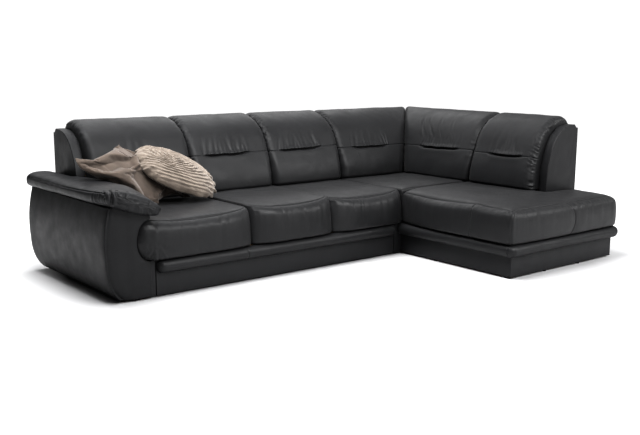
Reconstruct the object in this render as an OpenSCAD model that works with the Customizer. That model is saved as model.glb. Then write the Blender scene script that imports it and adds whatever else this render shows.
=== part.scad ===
/* [Long seat run] */
// From the inner corner to the inner face of the arm
seat_run = 1930; // [1600:5:2400]
// How far the arm's foot reaches in under the seats
arm_under = 85; // [40:5:120]
// Width of each seat next to the corner
place_width = 600; // [500:5:700]
// Depth of the base, front to rear, and width of the corner unit
base_depth = 1010; // [950:5:1100]

/* [Corner unit] */
// How far the ottoman reaches out in front of the long run
ottoman_length = 915; // [800:5:1200]
// How far the right backrest reaches out in front of the inner corner
back_reach = 620; // [400:5:700]
// Where the last two right back cushions meet, in front of the inner corner
back_joint = 30; // [-20:5:150]

/* [Base] */
// Height of the glides under the boards
glide_height = 10; // [5:1:20]
// Radius of a glide
glide_radius = 12; // [9:1:20]
// Height of the top of the base
base_height = 205; // [190:5:260]
// Thickness of the side boards of the long run
side_board = 25; // [18:1:30]
// Thickness of the plinth panels and the rear boards
panel = 18; // [12:1:25]
// Thickness of the deck rails on top of the base
deck_rail = 22; // [18:1:28]
// Width of a deck rail
deck_rail_width = 60; // [40:5:90]
// Width of the fixed stile between the pull-out front and the corner
stile_width = 65; // [40:5:100]
// Lower edge of the padded roll
roll_low = 130; // [90:5:150]
// How far the padded roll stands out
roll_out = 42; // [30:1:60]

/* [Seats] */
// Height of the seat's edge seam
seam_height = 400; // [360:5:460]
// Rise of the crown above the edge seam
crown = 30; // [10:1:50]
// How far a seat cushion swells out in front
seat_swell = 46; // [20:1:60]
// Height of the timber seat frames
seat_frame_height = 40; // [30:1:60]
// Width of the timbers of a seat frame
seat_timber = 28; // [20:1:40]
// Thickness of the spring wire
wire = 3.8; // [3:0.1:5]
// Number of zig-zag springs in a seat
springs_per_seat = 4; // [3:1:6]

/* [Backrest] */
// Depth of the back frame at the seat
back_base = 295; // [220:5:330]
// Height of the top of the back frame
back_top = 835; // [780:5:950]
// Height where the front of the back frame starts to curve back
back_knee = 450; // [420:5:520]
// Thickness of a back cushion at the seat
cushion_low = 122; // [90:1:150]
// Thickness of a back cushion over the top of the frame
cushion_high = 66; // [40:1:90]
// Thickness of a back cushion at its side seams
cushion_side = 58; // [30:1:66]
// Depth of the sewn channel across a back cushion
channel_depth = 26; // [0:1:40]
// Thickness of a back rib
rib = 18; // [12:1:25]
// Thickness of the elastic webbing
webbing = 2; // [1:0.5:3]
// Thickness of the padded end of a backrest
end_pad = 60; // [40:1:90]
// Thickness of the board that closes the back
rear_skin = 4; // [3:0.5:8]

/* [Arm] */
// From the arm's inner face to the foot of its outer face
arm_foot_width = 50; // [40:1:120]
// From the foot of the arm to the widest part of its belly
arm_belly = 129; // [60:1:180]
// Height of the widest part of the belly
belly_height = 300; // [240:5:380]
// How far the top of the arm leans back in from the belly
arm_lean = 30; // [0:1:60]
// Height where the foot's round ends and the belly starts
arm_knee = 210; // [150:5:240]
// Height of the arm under its pad
arm_top = 510; // [460:5:580]
// Thickness of the arm's padded outer panel
arm_skin = 12; // [8:1:20]
// Thickness of the arm's boards
arm_board = 15; // [10:1:22]
// Thickness of the arm pad
arm_pad_height = 90; // [60:1:120]
// Width of the arm pad
arm_pad_width = 273; // [220:1:320]
// How far the arm pad droops at its front
arm_pad_droop = 26; // [0:1:40]

/* [Pull-out bed] */
// How far the bed pulls out
bed_travel = 780; // [500:10:800]
// Running gap beside and below the pull-out front
bed_gap = 5; // [3:1:10]
// Radius of a roller
roller_radius = 20; // [16:1:24]
// Width of a roller
roller_width = 14; // [10:1:15]
// Radius of a roller's axle
axle_radius = 4; // [3:0.5:6]
// Clearance between an axle and what it turns in
axle_clear = 0.05; // [0.02:0.01:0.1]
// Thickness of the bed frame's boards
bed_board = 22; // [18:1:25]
// Height of the bed frame's boards
bed_board_height = 60; // [45:1:70]
// Thickness of a slat
slat = 8; // [5:1:12]
// Width of a slat
slat_width = 60; // [40:5:80]
// Thickness of the bed's mattress
mattress = 72; // [40:1:72]

/* [Scatter cushions] */
// Thickness of a scatter cushion
scatter_thickness = 120; // [80:5:160]

/* [Hidden] */
$fn = 48;

// Clearances: between soft forms, between boards that stay separate, and over webbing
soft_gap = 0.3;
board_gap = 0.2;
cushion_gap = webbing + 1;

// Heights
base_top = base_height;
deck_low = base_height - deck_rail;
seat_lift = 3.5;
seat_low = base_height + seat_lift;
spring_low = base_height + seat_frame_height;
recess_top = spring_low + wire + soft_gap;
crown_top = seam_height + crown;
fork_room = 4;
bed_frame_low = roller_radius * 2 + fork_room;
bed_frame_top = bed_frame_low + bed_board_height;

// Plan positions, from the inner corner of the base
back_inset = 5;
back_rear = base_depth - back_inset;
end_swell = 12;
seat_rear = back_rear - back_base - end_swell - cushion_gap;
recess_in = 27;
frame_gap = 6;
frame_in = recess_in + frame_gap;
notch_front = back_reach + cushion_gap;
right_swell = 38;
bench_length = seat_run - arm_under;
arm_foot = seat_run + arm_foot_width;
arm_widest = arm_foot + arm_belly;
pad_overlap = 14;
pad_outer = arm_widest + pad_overlap;
bed_left = bench_length - side_board - bed_gap;
bed_right = stile_width + bed_gap;

// The whole part is shifted so that the middle of its box is the origin
middle_x = (base_depth + roll_out - pad_outer) / 2;
middle_y = (base_depth - ottoman_length - roll_out) / 2;

// Rows of the deck rails, front edges: under the timbers and the middle bar of each seat frame, under
// the backrest's front sole rail, and along the rear board
function under(y) = y - deck_rail_width / 2;
sole_rail = 40;
sole_setback = 4;
seat_edge = frame_in + seat_timber / 2;
sole_middle = back_rear - back_base + sole_setback + sole_rail / 2;
rear_rows = [under(seat_rear / 2), under(seat_rear - seat_edge), under(sole_middle),
  base_depth - panel - deck_rail_width];
bed_stop = 6;
bench_rows = concat([panel + bed_stop], rear_rows);
corner_rows = concat([panel - ottoman_length, under(-notch_front - seat_edge), under(-ottoman_length / 2),
  under(-seat_edge), under(seat_edge)], rear_rows);

// Steps along the front edge of the back frame: below the knee in millimetres, above it in degrees
edge_steps = [0, 12, 24, 33, 42, 52, 62, 71, 79, 85, 89];
cushion_steps = concat([crown_top + 1 - back_knee], edge_steps);
// Roundness of a back cushion at each of its steps
cushion_round = [0.84, 1, 1, 1, 1, 1, 1, 1, 1, 0.95, 0.74, 0.2];
channel_step = 33;

leather = [0.22, 0.22, 0.23];
leather_dark = [0.15, 0.15, 0.16];
timber = [0.80, 0.65, 0.44];
plywood = [0.72, 0.55, 0.36];
steel = [0.62, 0.63, 0.65];
black = [0.08, 0.08, 0.08];
lining = [0.25, 0.25, 0.26];
taupe = [0.70, 0.63, 0.56];
cream = [0.82, 0.76, 0.68];

function smooth(u) = let (v = min(max(u, 0), 1)) v * v * (3 - 2 * v);
function power(v, e) = sign(v) * pow(abs(v), e);

// Walls between rings of n points each
function walls(count, n) = [
  for (k = [0:count - 2], i = [0:n - 1])
    let (a = k * n + i, b = k * n + (i + 1) % n)
    each [[a, b, b + n], [a, b + n, a + n]]
];

// A closed form through rings of points, with a fan at each end round its own middle point
module loft(rings, first, last) {
  n = len(rings[0]);
  m = len(rings);
  points = concat([for (r = rings) each r], [first, last]);
  faces = concat(walls(m, n),
    [for (i = [0:n - 1]) [m * n, (i + 1) % n, i]],
    [for (i = [0:n - 1]) [m * n + 1, (m - 1) * n + i, (m - 1) * n + (i + 1) % n]]);
  polyhedron(points, faces);
}

// A closed form through crescent rings: each ring runs out along one edge and back along the other
module crescent_loft(rings) {
  n = len(rings[0]);
  m = len(rings);
  end = (m - 1) * n;
  faces = concat(walls(m, n),
    [for (i = [0:n / 2 - 2]) each [[i + 1, i, n - 1 - i], [i + 1, n - 1 - i, n - 2 - i]]],
    [for (i = [0:n / 2 - 2]) each [[end + i, end + i + 1, end + n - 1 - i],
      [end + i + 1, end + n - 2 - i, end + n - 1 - i]]]);
  polyhedron([for (r = rings) each r], faces);
}

// Puts a piece of the long run's backrest on the right-hand backrest
module on_right_side() {
  mirror([1, -1, 0]) children();
}

module box(low, high) {
  translate(low) cube(high - low);
}

module placed() {
  translate([-middle_x, -middle_y, 0]) children();
}

// Base of the long run
bolt_radius = 4;
bolt_head = 5;
bolt_inset = 180;
bolt_heights = [70, 150];
module_bolt_places = [for (y = [bolt_inset, base_depth - bolt_inset], z = bolt_heights) [y, z]];

module bolt_holes(x, length) {
  for (p = module_bolt_places)
    translate([x, p[0], p[1]]) rotate([0, 90, 0]) cylinder(r = bolt_radius + 0.5, h = length, center = true);
}

module bench_side_board_left() {
  color(leather)
  difference() {
    box([-bench_length, 0, glide_height], [side_board - bench_length, base_depth - panel, base_top]);
    arm_bolt_holes();
  }
}

module bench_side_board_right() {
  color(leather)
  difference() {
    union() {
      box([-side_board, 0, glide_height], [-board_gap, base_depth - panel, base_top]);
      box([-stile_width, 0, glide_height], [-side_board, panel, base_top]);
    }
    bolt_holes(-side_board / 2, 2 * side_board);
  }
}

module bench_rear_board() {
  color(lining)
  box([-bench_length, base_depth - panel, glide_height], [-board_gap, base_depth, base_top]);
}

module bench_deck_rails() {
  color(timber)
  for (y = bench_rows)
    box([side_board - bench_length, y, deck_low], [-side_board, y + deck_rail_width, base_top]);
}

// A timber seat frame between two corners, with a bar across its middle
module seat_frame(low, high) {
  t = seat_timber;
  g = board_gap;
  middle = (low[1] + high[1]) / 2;
  translate([0, 0, base_top])
  linear_extrude(seat_frame_height) {
    for (y = [low[1], high[1] - t]) translate([low[0], y]) square([high[0] - low[0], t]);
    for (x = [low[0], high[0] - t])
      translate([x, low[1] + t + g]) square([t, high[1] - low[1] - 2 * t - 2 * g]);
    translate([low[0] + t + g, middle - t / 2]) square([high[0] - low[0] - 2 * t - 2 * g, t]);
  }
}

// One zig-zag spring along Y, clipped to the timbers at both ends
module zigzag_spring(x, y0, y1) {
  swing = 18;
  pitch = 60;
  step = pitch / 4;
  count = floor((y1 - y0) / step);
  span = (y1 - y0) / count;
  side = [for (k = [0:count]) [swing * sin(90 * k), y0 + k * span]];
  half = wire * 0.95;
  left = [for (p = side) [x + p[0] - half, p[1]]];
  right = [for (k = [count:-1:0]) [x + side[k][0] + half, side[k][1]]];
  translate([0, 0, spring_low]) linear_extrude(wire) polygon(concat(left, right));
}

module seat_springs(low, high) {
  gap = (high[0] - low[0]) / (springs_per_seat + 1);
  inset = seat_timber / 2;
  for (i = [1:springs_per_seat])
    zigzag_spring(low[0] + i * gap, low[1] + inset, high[1] - inset);
}

// Left and right edges of the three seats of the long run
bench_seats = [[-seat_run + 5, -2 * place_width], [-2 * place_width, -place_width], [-place_width, 0]];

function frame_low(s) = [s[0] + frame_in, frame_in];
function frame_high(s) = [s[1] - frame_in, seat_rear - frame_in];

module bench_seat_frames() {
  color(timber)
  for (s = bench_seats) seat_frame(frame_low(s), frame_high(s));
}

module bench_springs() {
  color(steel)
  for (s = bench_seats) seat_springs(frame_low(s), frame_high(s));
}

// Rings of a seat cushion: height, swell, inset from the nominal edge, and how far the ends of the
// front edge are drawn back
function seat_levels() = [
  [recess_top, 0, recess_in, 0],
  [seat_low, 0, recess_in, 0],
  [seat_low, 0.6, 5, 4],
  [seat_low + 9, 0.86, soft_gap, 8],
  [seat_low + 52, 0.97, soft_gap, 12],
  [seam_height - 90, 1, soft_gap, 18],
  [seam_height - 40, 0.86, soft_gap, 34],
  [seam_height - 10, 0.34, 3, 52],
  [seam_height, 0, 9, 60],
  [seam_height + crown * 0.24, 0, 38, 44],
  [seam_height + crown * 0.8, 0, 140, 12]
];

// How far the left seat's front edge is cut in at its top and bottom, and how deep that front part is
bolster_cut = 76;
front_step = 12;

// How far the left end of a seat's front is cut in at a height, so that it is round like a bolster
function end_round(z, reach) =
  let (middle = (seat_low + seam_height) / 2,
    u = min(abs(z - middle) / (seam_height - middle), 1))
  reach * (1 - sqrt(1 - u * u));

// How far the front of a seat swells at a share s of its width: full in the middle, drawn in at
// the seams beside it. A higher sharpness keeps it full nearer to that end
function swell_share(s, left, right) = s < 0.5 ? 1 - pow(1 - 2 * s, left) : 1 - pow(2 * s - 1, right);

function seat_ring(x0, x1, y0, y1, level, left, right, bolster) =
  let (z = level[0], out = level[1] * seat_swell, in = level[2],
    a = x0 + in, b = x1 - in, c = y0 + in, d = y1 - in,
    first = bolster > 0 && level[1] > 0 ? a + end_round(z, bolster) : a)
  concat(
    [for (s = [0, 0.03, 0.1, 0.28, 0.5, 0.72, 0.9, 0.97, 1])
      let (share = swell_share(s, left, right))
      [first + (b - first) * s, c - out * share + level[3] * (1 - share), z]],
    [for (s = [0.3, 0.7]) [b, c + (d - c) * s, z]],
    [[b, d, z], [(a + b) / 2, d, z], [a, d, z]],
    [for (s = [0.7, 0.3]) [a, c + (d - c) * s, z]],
    [[a, c + level[3] + front_step, z]]);

module seat_cushion(x0, x1, y0, left = 4, right = 4, bolster = 0) {
  x = (x0 + x1) / 2;
  y = (y0 + seat_rear) / 2;
  rings = [for (level = seat_levels()) seat_ring(x0, x1, y0, seat_rear, level, left, right, bolster)];
  loft(rings, [x, y, recess_top], [x, y, crown_top]);
}

module seat_cushion_left() {
  color(leather) seat_cushion(bench_seats[0][0], bench_seats[0][1], 0, left = 14, bolster = bolster_cut);
}

module seat_cushion_middle() {
  color(leather) seat_cushion(bench_seats[1][0], bench_seats[1][1], 0);
}

module seat_cushion_right() {
  color(leather) seat_cushion(bench_seats[2][0], bench_seats[2][1], 0);
}

// Corner seat: square, with a neighbour or a backrest on every side
module seat_cushion_corner() {
  levels = [for (level = seat_levels()) [level[0], 0, level[2], 0]];
  rings = [for (level = levels) seat_ring(0, seat_rear, 0, seat_rear, level, 4, 4, 0)];
  middle = seat_rear / 2;
  color(leather) loft(rings, [middle, middle, recess_top], [middle, middle, crown_top]);
}

// Ottoman seat: an L that runs past the end of the right backrest
function ottoman_ring(level) =
  let (z = level[0], out = level[1] * seat_swell, side = level[1] * right_swell,
    in = min(level[2], 100), a = in, b = base_depth - in, n = seat_rear - in,
    front = in - ottoman_length, notch = -notch_front - in, rear = -in)
  concat(
    [for (s = [0, 0.05, 0.14, 0.35, 0.65, 0.97])
      [a - out * (1 - pow(1 - s, 6)), rear + (front - rear) * s, z]],
    [for (s = [0, 0.04, 0.3, 0.6, 0.96, 1])
      [a - out + (b - a + out + side) * s, front - out * (0.7 + 0.6 * s * (1 - s)), z]],
    [[b + side, (front + notch) / 2, z], [b + side * 0.8, notch, z]],
    [[n, notch, z], [n, (notch + rear) / 2, z], [n, rear, z], [(a + n) / 2, rear, z]]);

module seat_cushion_ottoman() {
  middle = [seat_rear / 2, -(ottoman_length + notch_front) / 2];
  rings = [for (level = seat_levels()) ottoman_ring(level)];
  color(leather) loft(rings, concat(middle, recess_top), concat(middle, crown_top));
}

// Base of the corner unit
module plinth_panel_inner() {
  color(leather)
  difference() {
    box([0, -ottoman_length, glide_height], [panel, base_depth, base_top]);
    bolt_holes(panel / 2, 2 * panel);
  }
}

module plinth_panel_front() {
  color(leather)
  box([panel, -ottoman_length, glide_height], [base_depth - panel, panel - ottoman_length, base_top]);
}

module plinth_panel_right() {
  color(leather)
  box([base_depth - panel, -ottoman_length, glide_height], [base_depth, base_depth, base_top]);
}

module plinth_panel_rear() {
  color(lining)
  box([panel, base_depth - panel, glide_height], [base_depth - panel, base_depth, base_top]);
}

module corner_deck_rails() {
  color(timber)
  for (y = corner_rows)
    box([panel, y, deck_low], [base_depth - panel, y + deck_rail_width, base_top]);
}

module corner_bottom_board() {
  color(plywood)
  box([panel, panel - ottoman_length, glide_height],
    [base_depth - panel, base_depth - panel, glide_height + 3]);
}

corner_frame = [[frame_in, frame_in], [seat_rear - frame_in, seat_rear - frame_in]];
ottoman_frame = [[frame_in, frame_in - ottoman_length], [seat_rear - frame_in, -frame_in]];
wing_frame = [[seat_rear - frame_in + board_gap, frame_in - ottoman_length],
  [base_depth - frame_in, -notch_front - frame_in]];

module corner_seat_frames() {
  color(timber)
  for (f = [corner_frame, ottoman_frame, wing_frame]) seat_frame(f[0], f[1]);
}

module corner_springs() {
  color(steel)
  for (f = [corner_frame, ottoman_frame]) seat_springs(f[0], f[1]);
}

// Padded roll: a half-round bead along X that stands out from a face at y = 0
roll_half = (base_top - roll_low) / 2;
roll_radius = (roll_half * roll_half + roll_out * roll_out) / (2 * roll_out);
roll_middle = roll_low + roll_half;

module roll_bead(x0, x1) {
  translate([x0, roll_radius - roll_out, roll_middle]) rotate([0, 90, 0])
    cylinder(r = roll_radius, h = x1 - x0);
}

// How far the solid that trims a roll reaches past it
trim_reach = 200;

// Half-space behind the face that a roll is fixed to
module behind_face(x0, x1) {
  box([x0 - trim_reach, 0, roll_low - trim_reach], [x1 + trim_reach, trim_reach, base_top + trim_reach]);
}

// A quarter turn of the roll round the vertical edge of a corner
module roll_turn(start) {
  rotate([0, 0, start]) rotate_extrude(angle = 90)
  intersection() {
    translate([roll_out - roll_radius, roll_middle]) circle(r = roll_radius);
    translate([0, roll_low]) square([roll_out, base_top - roll_low]);
  }
}

module straight_roll(x0, x1) {
  difference() {
    roll_bead(x0, x1);
    behind_face(x0, x1);
  }
}

// The front roll turns round both front corners of the plinth
module roll_front() {
  color(leather)
  translate([0, -ottoman_length, 0]) {
    straight_roll(0, base_depth);
    roll_turn(180);
    translate([base_depth, 0, 0]) roll_turn(-90);
  }
}

module roll_inner() {
  color(leather)
  rotate([0, 0, -90]) straight_roll(soft_gap, ottoman_length - soft_gap);
}

module roll_right() {
  color(leather)
  translate([base_depth, -ottoman_length, 0])
  rotate([0, 0, 90]) straight_roll(soft_gap, ottoman_length + base_depth);
}

// Front edge of the back frame, as depth from its rear and height, moved out by a distance
back_rise = back_top - back_knee;
lean = 0.63;

function back_edge(step, out) =
  step <= 0 ? [back_base + out, back_knee + step] :
  let (c = cos(step), s = sin(step), nt = back_rise * c, nz = lean * back_base * pow(c, lean - 1) * s,
    k = out / sqrt(nt * nt + nz * nz))
  [back_base * pow(c, lean) + nt * k, back_knee + back_rise * s + nz * k];

rib_low = base_top + deck_rail;

function rib_outline(out) = concat(
  [[rib + board_gap, rib_low], [rib + board_gap, back_panel_top]],
  [for (i = [len(edge_steps) - 1:-1:0]) back_edge(edge_steps[i], out)],
  [[back_base + out, rib_low]]);

// Stands a depth and height outline across the backrest at a place along the run
module across(place, thickness) {
  translate([place, back_rear, 0]) rotate([90, 0, 90]) mirror([1, 0, 0])
    linear_extrude(thickness) children();
}

module back_rib(place) {
  across(place, rib) polygon(rib_outline(0));
}

back_rail = 60;
back_panel_top = back_top - 12;
rear_rail_heights = [rib_low + 30, 520, back_panel_top - back_rail];
sole_rail_depths = [rib + sole_setback, back_base - sole_rail - sole_setback];

// Rails of a backrest between two places: three behind the ribs and two under them. Its front sole
// rail may end sooner, and all may stop short of a backrest that they run into
module back_rails(from, to, front_to, short = 0) {
  for (z = rear_rail_heights)
    box([from, back_rear - rib, z], [to - short * (rib + board_gap), back_rear, z + back_rail]);
  for (k = [0, 1]) {
    depth = sole_rail_depths[k];
    end = k == 0 ? to : front_to;
    box([from, back_rear - depth - sole_rail, base_top],
      [end - short * (depth + sole_rail + board_gap), back_rear - depth, rib_low]);
  }
}

// Webbing strips on the front edges of the ribs, each on one flat of the edge
module back_webbing(from, to) {
  for (i = [0, 2, 4, 6])
    across(from, to - from) {
      a = back_edge(edge_steps[i], 0);
      b = back_edge(edge_steps[i + 1], 0);
      c = back_edge(edge_steps[i], webbing);
      d = back_edge(edge_steps[i + 1], webbing);
      polygon([0.9 * a + 0.1 * b, 0.1 * a + 0.9 * b, 0.1 * c + 0.9 * d, 0.9 * c + 0.1 * d]);
    }
}

// Places of the ribs, left edges
left_end = end_pad - seat_run;
bench_ribs = [left_end + board_gap, -2 * place_width - rib / 2, -place_width - rib / 2, -rib - board_gap];
right_end = end_pad - back_reach;
long_corner_ribs = [board_gap, place_width - 30];
side_corner_ribs = [right_end + board_gap, -back_joint - rib / 2, place_width - 60];

module back_ribs_bench() {
  color(plywood) for (place = bench_ribs) back_rib(place);
}

module back_rails_bench() {
  color(timber) back_rails(left_end, -board_gap, -board_gap);
}

module back_webbing_bench() {
  color(black) back_webbing(left_end + 1, -1);
}

module back_rear_panel_bench() {
  color(lining)
  box([-seat_run, back_rear, base_top + 1], [-board_gap, back_rear + rear_skin, back_panel_top]);
}

// The rib on the mitre stands back a little, so that its corners stay behind both cushions
module mitre_rib() {
  setback = -rib / 2 + 1;
  translate([back_rear, back_rear, 0]) rotate([0, 0, -45]) translate([-rib / 2, 0, 0])
    rotate([90, 0, 90]) mirror([1, 0, 0]) linear_extrude(rib)
    polygon([for (p = rib_outline(setback)) [p[0] < 100 ? max(p[0], 60) * sqrt(2) : p[0] * sqrt(2), p[1]]]);
}

module back_ribs_corner() {
  color(plywood) {
    for (place = long_corner_ribs) back_rib(place);
    on_right_side() for (place = side_corner_ribs) back_rib(place);
    mitre_rib();
  }
}

module back_rails_corner() {
  color(timber) {
    back_rails(board_gap, back_rear, back_rear - sole_rail_depths[0] - sole_rail - board_gap);
    on_right_side() back_rails(right_end, back_rear, back_rear, short = 1);
  }
}

module back_webbing_corner() {
  color(black) {
    back_webbing(1, long_corner_ribs[1] + rib);
    on_right_side() back_webbing(right_end + 1, side_corner_ribs[2] + rib);
  }
}

module back_rear_panel_corner() {
  color(lining)
  box([board_gap, back_rear, base_top + 1], [back_rear, back_rear + rear_skin, back_panel_top]);
}

module back_right_panel_corner() {
  color(lining) on_right_side()
  box([-back_reach, back_rear, base_top + 1], [back_rear, back_rear + rear_skin, back_panel_top]);
}

// Padded end of a backrest: a slab with its edges rounded, square to the run
module back_end_pad(place) {
  outline = concat(
    [[0, seat_low], [0, back_top - 25], [8, back_top - 6]],
    [for (i = [len(edge_steps) - 1:-1:0]) back_edge(edge_steps[i], end_swell)],
    [[back_base + end_swell, seat_low]]);
  middle = [back_base * 0.45, (seat_low + back_top) / 2];
  rings = [for (k = [[0, 0.925], [4, 0.95], [12, 0.975], [26, 1], [end_pad - 6, 1], [end_pad, 0.99]])
    [for (p = outline)
      let (q = middle + (p - middle) * k[1])
      [place + k[0], back_rear - q[0], q[1]]]];
  loft(rings, [place, back_rear - middle[0], middle[1]],
    [place + end_pad, back_rear - middle[0], middle[1]]);
}

module back_end_pad_left() {
  color(leather) back_end_pad(-seat_run);
}

module back_end_pad_right() {
  color(leather) on_right_side() back_end_pad(-back_reach);
}

// Thickness of a back cushion at a step: thick at the seat, thin over the top, with a sewn channel
function cushion_thickness(step) =
  let (a = max(step, 0))
  cushion_high + (cushion_low - cushion_high) * exp(-pow(a / 30, 2))
  + 15 * exp(-pow((a - 50) / 11, 2))
  - (step == channel_step ? channel_depth : 0);

// How full a cushion is at a distance from its side seam
side_round = 52;

function side_fullness(d) = let (u = min(d / side_round, 1)) sqrt(1 - (1 - u) * (1 - u));

// One ring of a back cushion at a distance d from a side seam. The seam is square to the run, or on
// the mitre where the ring's place depends on the depth
function back_ring(place, d, mitred) =
  let (f = side_fullness(d),
    front = [for (i = [0:len(cushion_steps) - 1])
      back_edge(cushion_steps[i], cushion_gap + cushion_round[i] *
        (cushion_side + (cushion_thickness(cushion_steps[i]) - cushion_side) * f))],
    rear = [for (i = [len(cushion_steps) - 1:-1:0]) back_edge(cushion_steps[i], cushion_gap)])
  [for (p = concat(front, rear)) [mitred ? back_rear - p[0] - soft_gap - d : place, back_rear - p[0], p[1]]];

seam_steps = [0, 0.11, 0.38, 1] * side_round;

module back_cushion(from, to, mitred = false) {
  a = from + soft_gap;
  b = to - soft_gap;
  rings = concat(
    [for (d = seam_steps) back_ring(a + d, d, false)],
    [back_ring(mitred ? (a + back_rear - back_base - cushion_low) / 2 : (a + b) / 2, 90, false)],
    [for (i = [len(seam_steps) - 1:-1:0]) back_ring(b - seam_steps[i], seam_steps[i], mitred)]);
  crescent_loft(rings);
}

module back_cushion_1() {
  color(leather) back_cushion(left_end, -2 * place_width);
}

module back_cushion_2() {
  color(leather) back_cushion(-2 * place_width, -place_width);
}

module back_cushion_3() {
  color(leather) back_cushion(-place_width, 0);
}

module back_cushion_4() {
  color(leather) back_cushion(0, back_rear, mitred = true);
}

module back_cushion_5() {
  color(leather) on_right_side() back_cushion(-back_joint, back_rear, mitred = true);
}

module back_cushion_6() {
  color(leather) on_right_side() back_cushion(right_end, -back_joint);
}

// Outer face of the arm: a round foot, then a shallow belly, as distance from the inner corner
function arm_face(z) =
  let (belly_at_knee = arm_belly - arm_lean * pow((arm_knee - belly_height) / (arm_top - belly_height), 2))
  arm_foot + (z < arm_knee
    ? belly_at_knee * sqrt(1 - pow((arm_knee - z) / arm_knee, 2))
    : arm_belly - arm_lean * pow((z - belly_height) / (arm_top - belly_height), 2));

arm_heights = [12, 30, 60, 100, 150, arm_knee, 270, 330, 390, 450, arm_top];

// A point of the arm's outline, moved in square to the face
function arm_point(z, in) =
  let (d = arm_face(z + 1) - arm_face(z - 1), k = sqrt(d * d + 4))
  [-arm_face(z) + in * 2 / k, z + in * d / k];

module arm_across(y, thickness, top) {
  inside = [for (z = arm_heights) if (z < top) arm_point(z, arm_skin + 0.5)];
  translate([0, y + thickness, 0]) rotate([90, 0, 0]) linear_extrude(thickness)
  polygon(concat(
    [[-arm_foot + arm_skin, glide_height]], inside,
    [[-arm_face(top) + arm_skin + 1, top],
      [-seat_run - arm_board - board_gap, top],
      [-seat_run - arm_board - board_gap, base_top - 1],
      [-bench_length - board_gap, base_top - 1],
      [-bench_length - board_gap, glide_height]]));
}

module arm_outer_panel() {
  color(leather)
  translate([0, back_rear, 0]) rotate([90, 0, 0]) linear_extrude(back_rear)
  polygon(concat(
    [for (z = arm_heights) arm_point(z, 0)],
    [for (i = [len(arm_heights) - 1:-1:0]) arm_point(arm_heights[i], arm_skin)]));
}

module arm_front_panel() {
  color(leather) arm_across(0, arm_board, arm_top);
}

module arm_inner_panel() {
  color(leather)
  box([-seat_run - arm_board, arm_board + board_gap, base_top], [-seat_run, back_rear, arm_top]);
}

arm_rib_front = arm_board + board_gap;
arm_rib_room = back_rear - arm_board - arm_rib_front;
arm_rib_rows = [for (k = [0:3]) arm_rib_front + arm_rib_room * k / 3];
arm_bolt_heights = [140, 168];
arm_bolt_places = [for (row = [1, 2], z = arm_bolt_heights) [arm_rib_rows[row] + arm_board / 2, z]];
arm_bolt_length = 70;

module arm_bolt_holes() {
  for (p = arm_bolt_places)
    translate([side_board + 1 - bench_length, p[0], p[1]]) rotate([0, -90, 0])
      cylinder(r = bolt_radius + 0.5, h = arm_bolt_length + 3);
}

module arm_ribs() {
  color(plywood)
  difference() {
    for (y = arm_rib_rows) arm_across(y, arm_board, arm_top - arm_board);
    arm_bolt_holes();
  }
}

module arm_rear_panel() {
  color(lining) arm_across(back_rear + board_gap, rear_skin, arm_top);
}

module arm_pad_board() {
  color(plywood)
  box([-arm_face(arm_top) + arm_skin + 2, arm_board + board_gap, arm_top - arm_board],
    [-seat_run - arm_board - board_gap, back_rear, arm_top]);
}

module arm_bolts() {
  color(steel)
  for (p = arm_bolt_places)
    translate([side_board - bench_length, p[0], p[1]]) rotate([0, -90, 0]) {
      translate([0, 0, -bolt_head]) cylinder(r = bolt_radius * 2.25, h = bolt_head);
      cylinder(r = bolt_radius, h = arm_bolt_length);
    }
}

// Arm pad: sections across the arm, from its rear end to its drooping front. The inner edge stands
// back beside the backrest
pad_rear = back_rear - 2;
pad_front = -66;
pad_overhang = -0.7;
pad_inner = pad_outer - arm_pad_width;

pad_narrowing = seat_run + 6 - pad_inner;

// The pad droops in front of the first place, and narrows at the back cushion between the others
pad_droop_from = 150;
pad_narrows = [480, 600, 690];

function pad_inner_edge(y) =
  pad_inner + pad_narrowing * lookup(y, [[pad_narrows[0], 0], [pad_narrows[1], 0.33], [pad_narrows[2], 1]]);

function pad_section(y, size) =
  let (droop = smooth((pad_droop_from - y) / 190),
    inner = pad_inner_edge(y) - 62 * droop,
    outer = pad_outer - 20 * droop,
    half = (outer - inner) / 2 * size,
    middle = -(outer + inner) / 2,
    tilt = 15 * droop,
    rise = arm_pad_height / 2 * (1 + 0.15 * droop) * size,
    height = arm_top + soft_gap + arm_pad_height / 2 - arm_pad_droop * droop)
  [for (i = [0:13])
    let (a = 360 * i / 14,
      u = half * power(cos(a), 0.8),
      v = rise * power(sin(a), 0.8),
      x = middle + u * cos(tilt) + v * sin(tilt),
      z = height - u * sin(tilt) + v * cos(tilt),
      over_arm = y > pad_overhang,
      corner = over_arm && i == 11 && z < arm_top + soft_gap)
    [corner ? soft_gap - seat_run : x, y,
      corner || (over_arm && x < -seat_run) ? max(z, arm_top + soft_gap) : z]];

module arm_pad() {
  stations = [[pad_front, 0.55], [pad_front + 8, 0.8], [pad_front + 26, 1], [pad_overhang - 0.3, 1],
    [pad_overhang + 0.3, 1], [60, 1], [pad_droop_from, 1],
    for (y = pad_narrows) [y, 1], [pad_rear - 40, 1], [pad_rear - 12, 0.86], [pad_rear, 0.6]];
  rings = [for (s = stations) pad_section(s[0], s[1])];
  first = [for (k = [0:2]) (rings[0][0][k] + rings[0][7][k]) / 2];
  last = [for (k = [0:2]) (rings[len(rings) - 1][0][k] + rings[len(rings) - 1][7][k]) / 2];
  color(leather) loft(rings, first, last);
}

// Scatter cushions: a soft form between four corners, with drawn-in sides. Each corner is given as
// its place right of the arm, behind the seat's front edge and above the seat's crown
plain_corners = [[-100, 460, 280], [230, 605, 335], [630, 505, 24], [330, 330, 0.6]];
pleated_corners = [[230, 405, 280], [480, 588, 281], [845, 535, 12], [640, 300, -12.1]];

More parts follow.
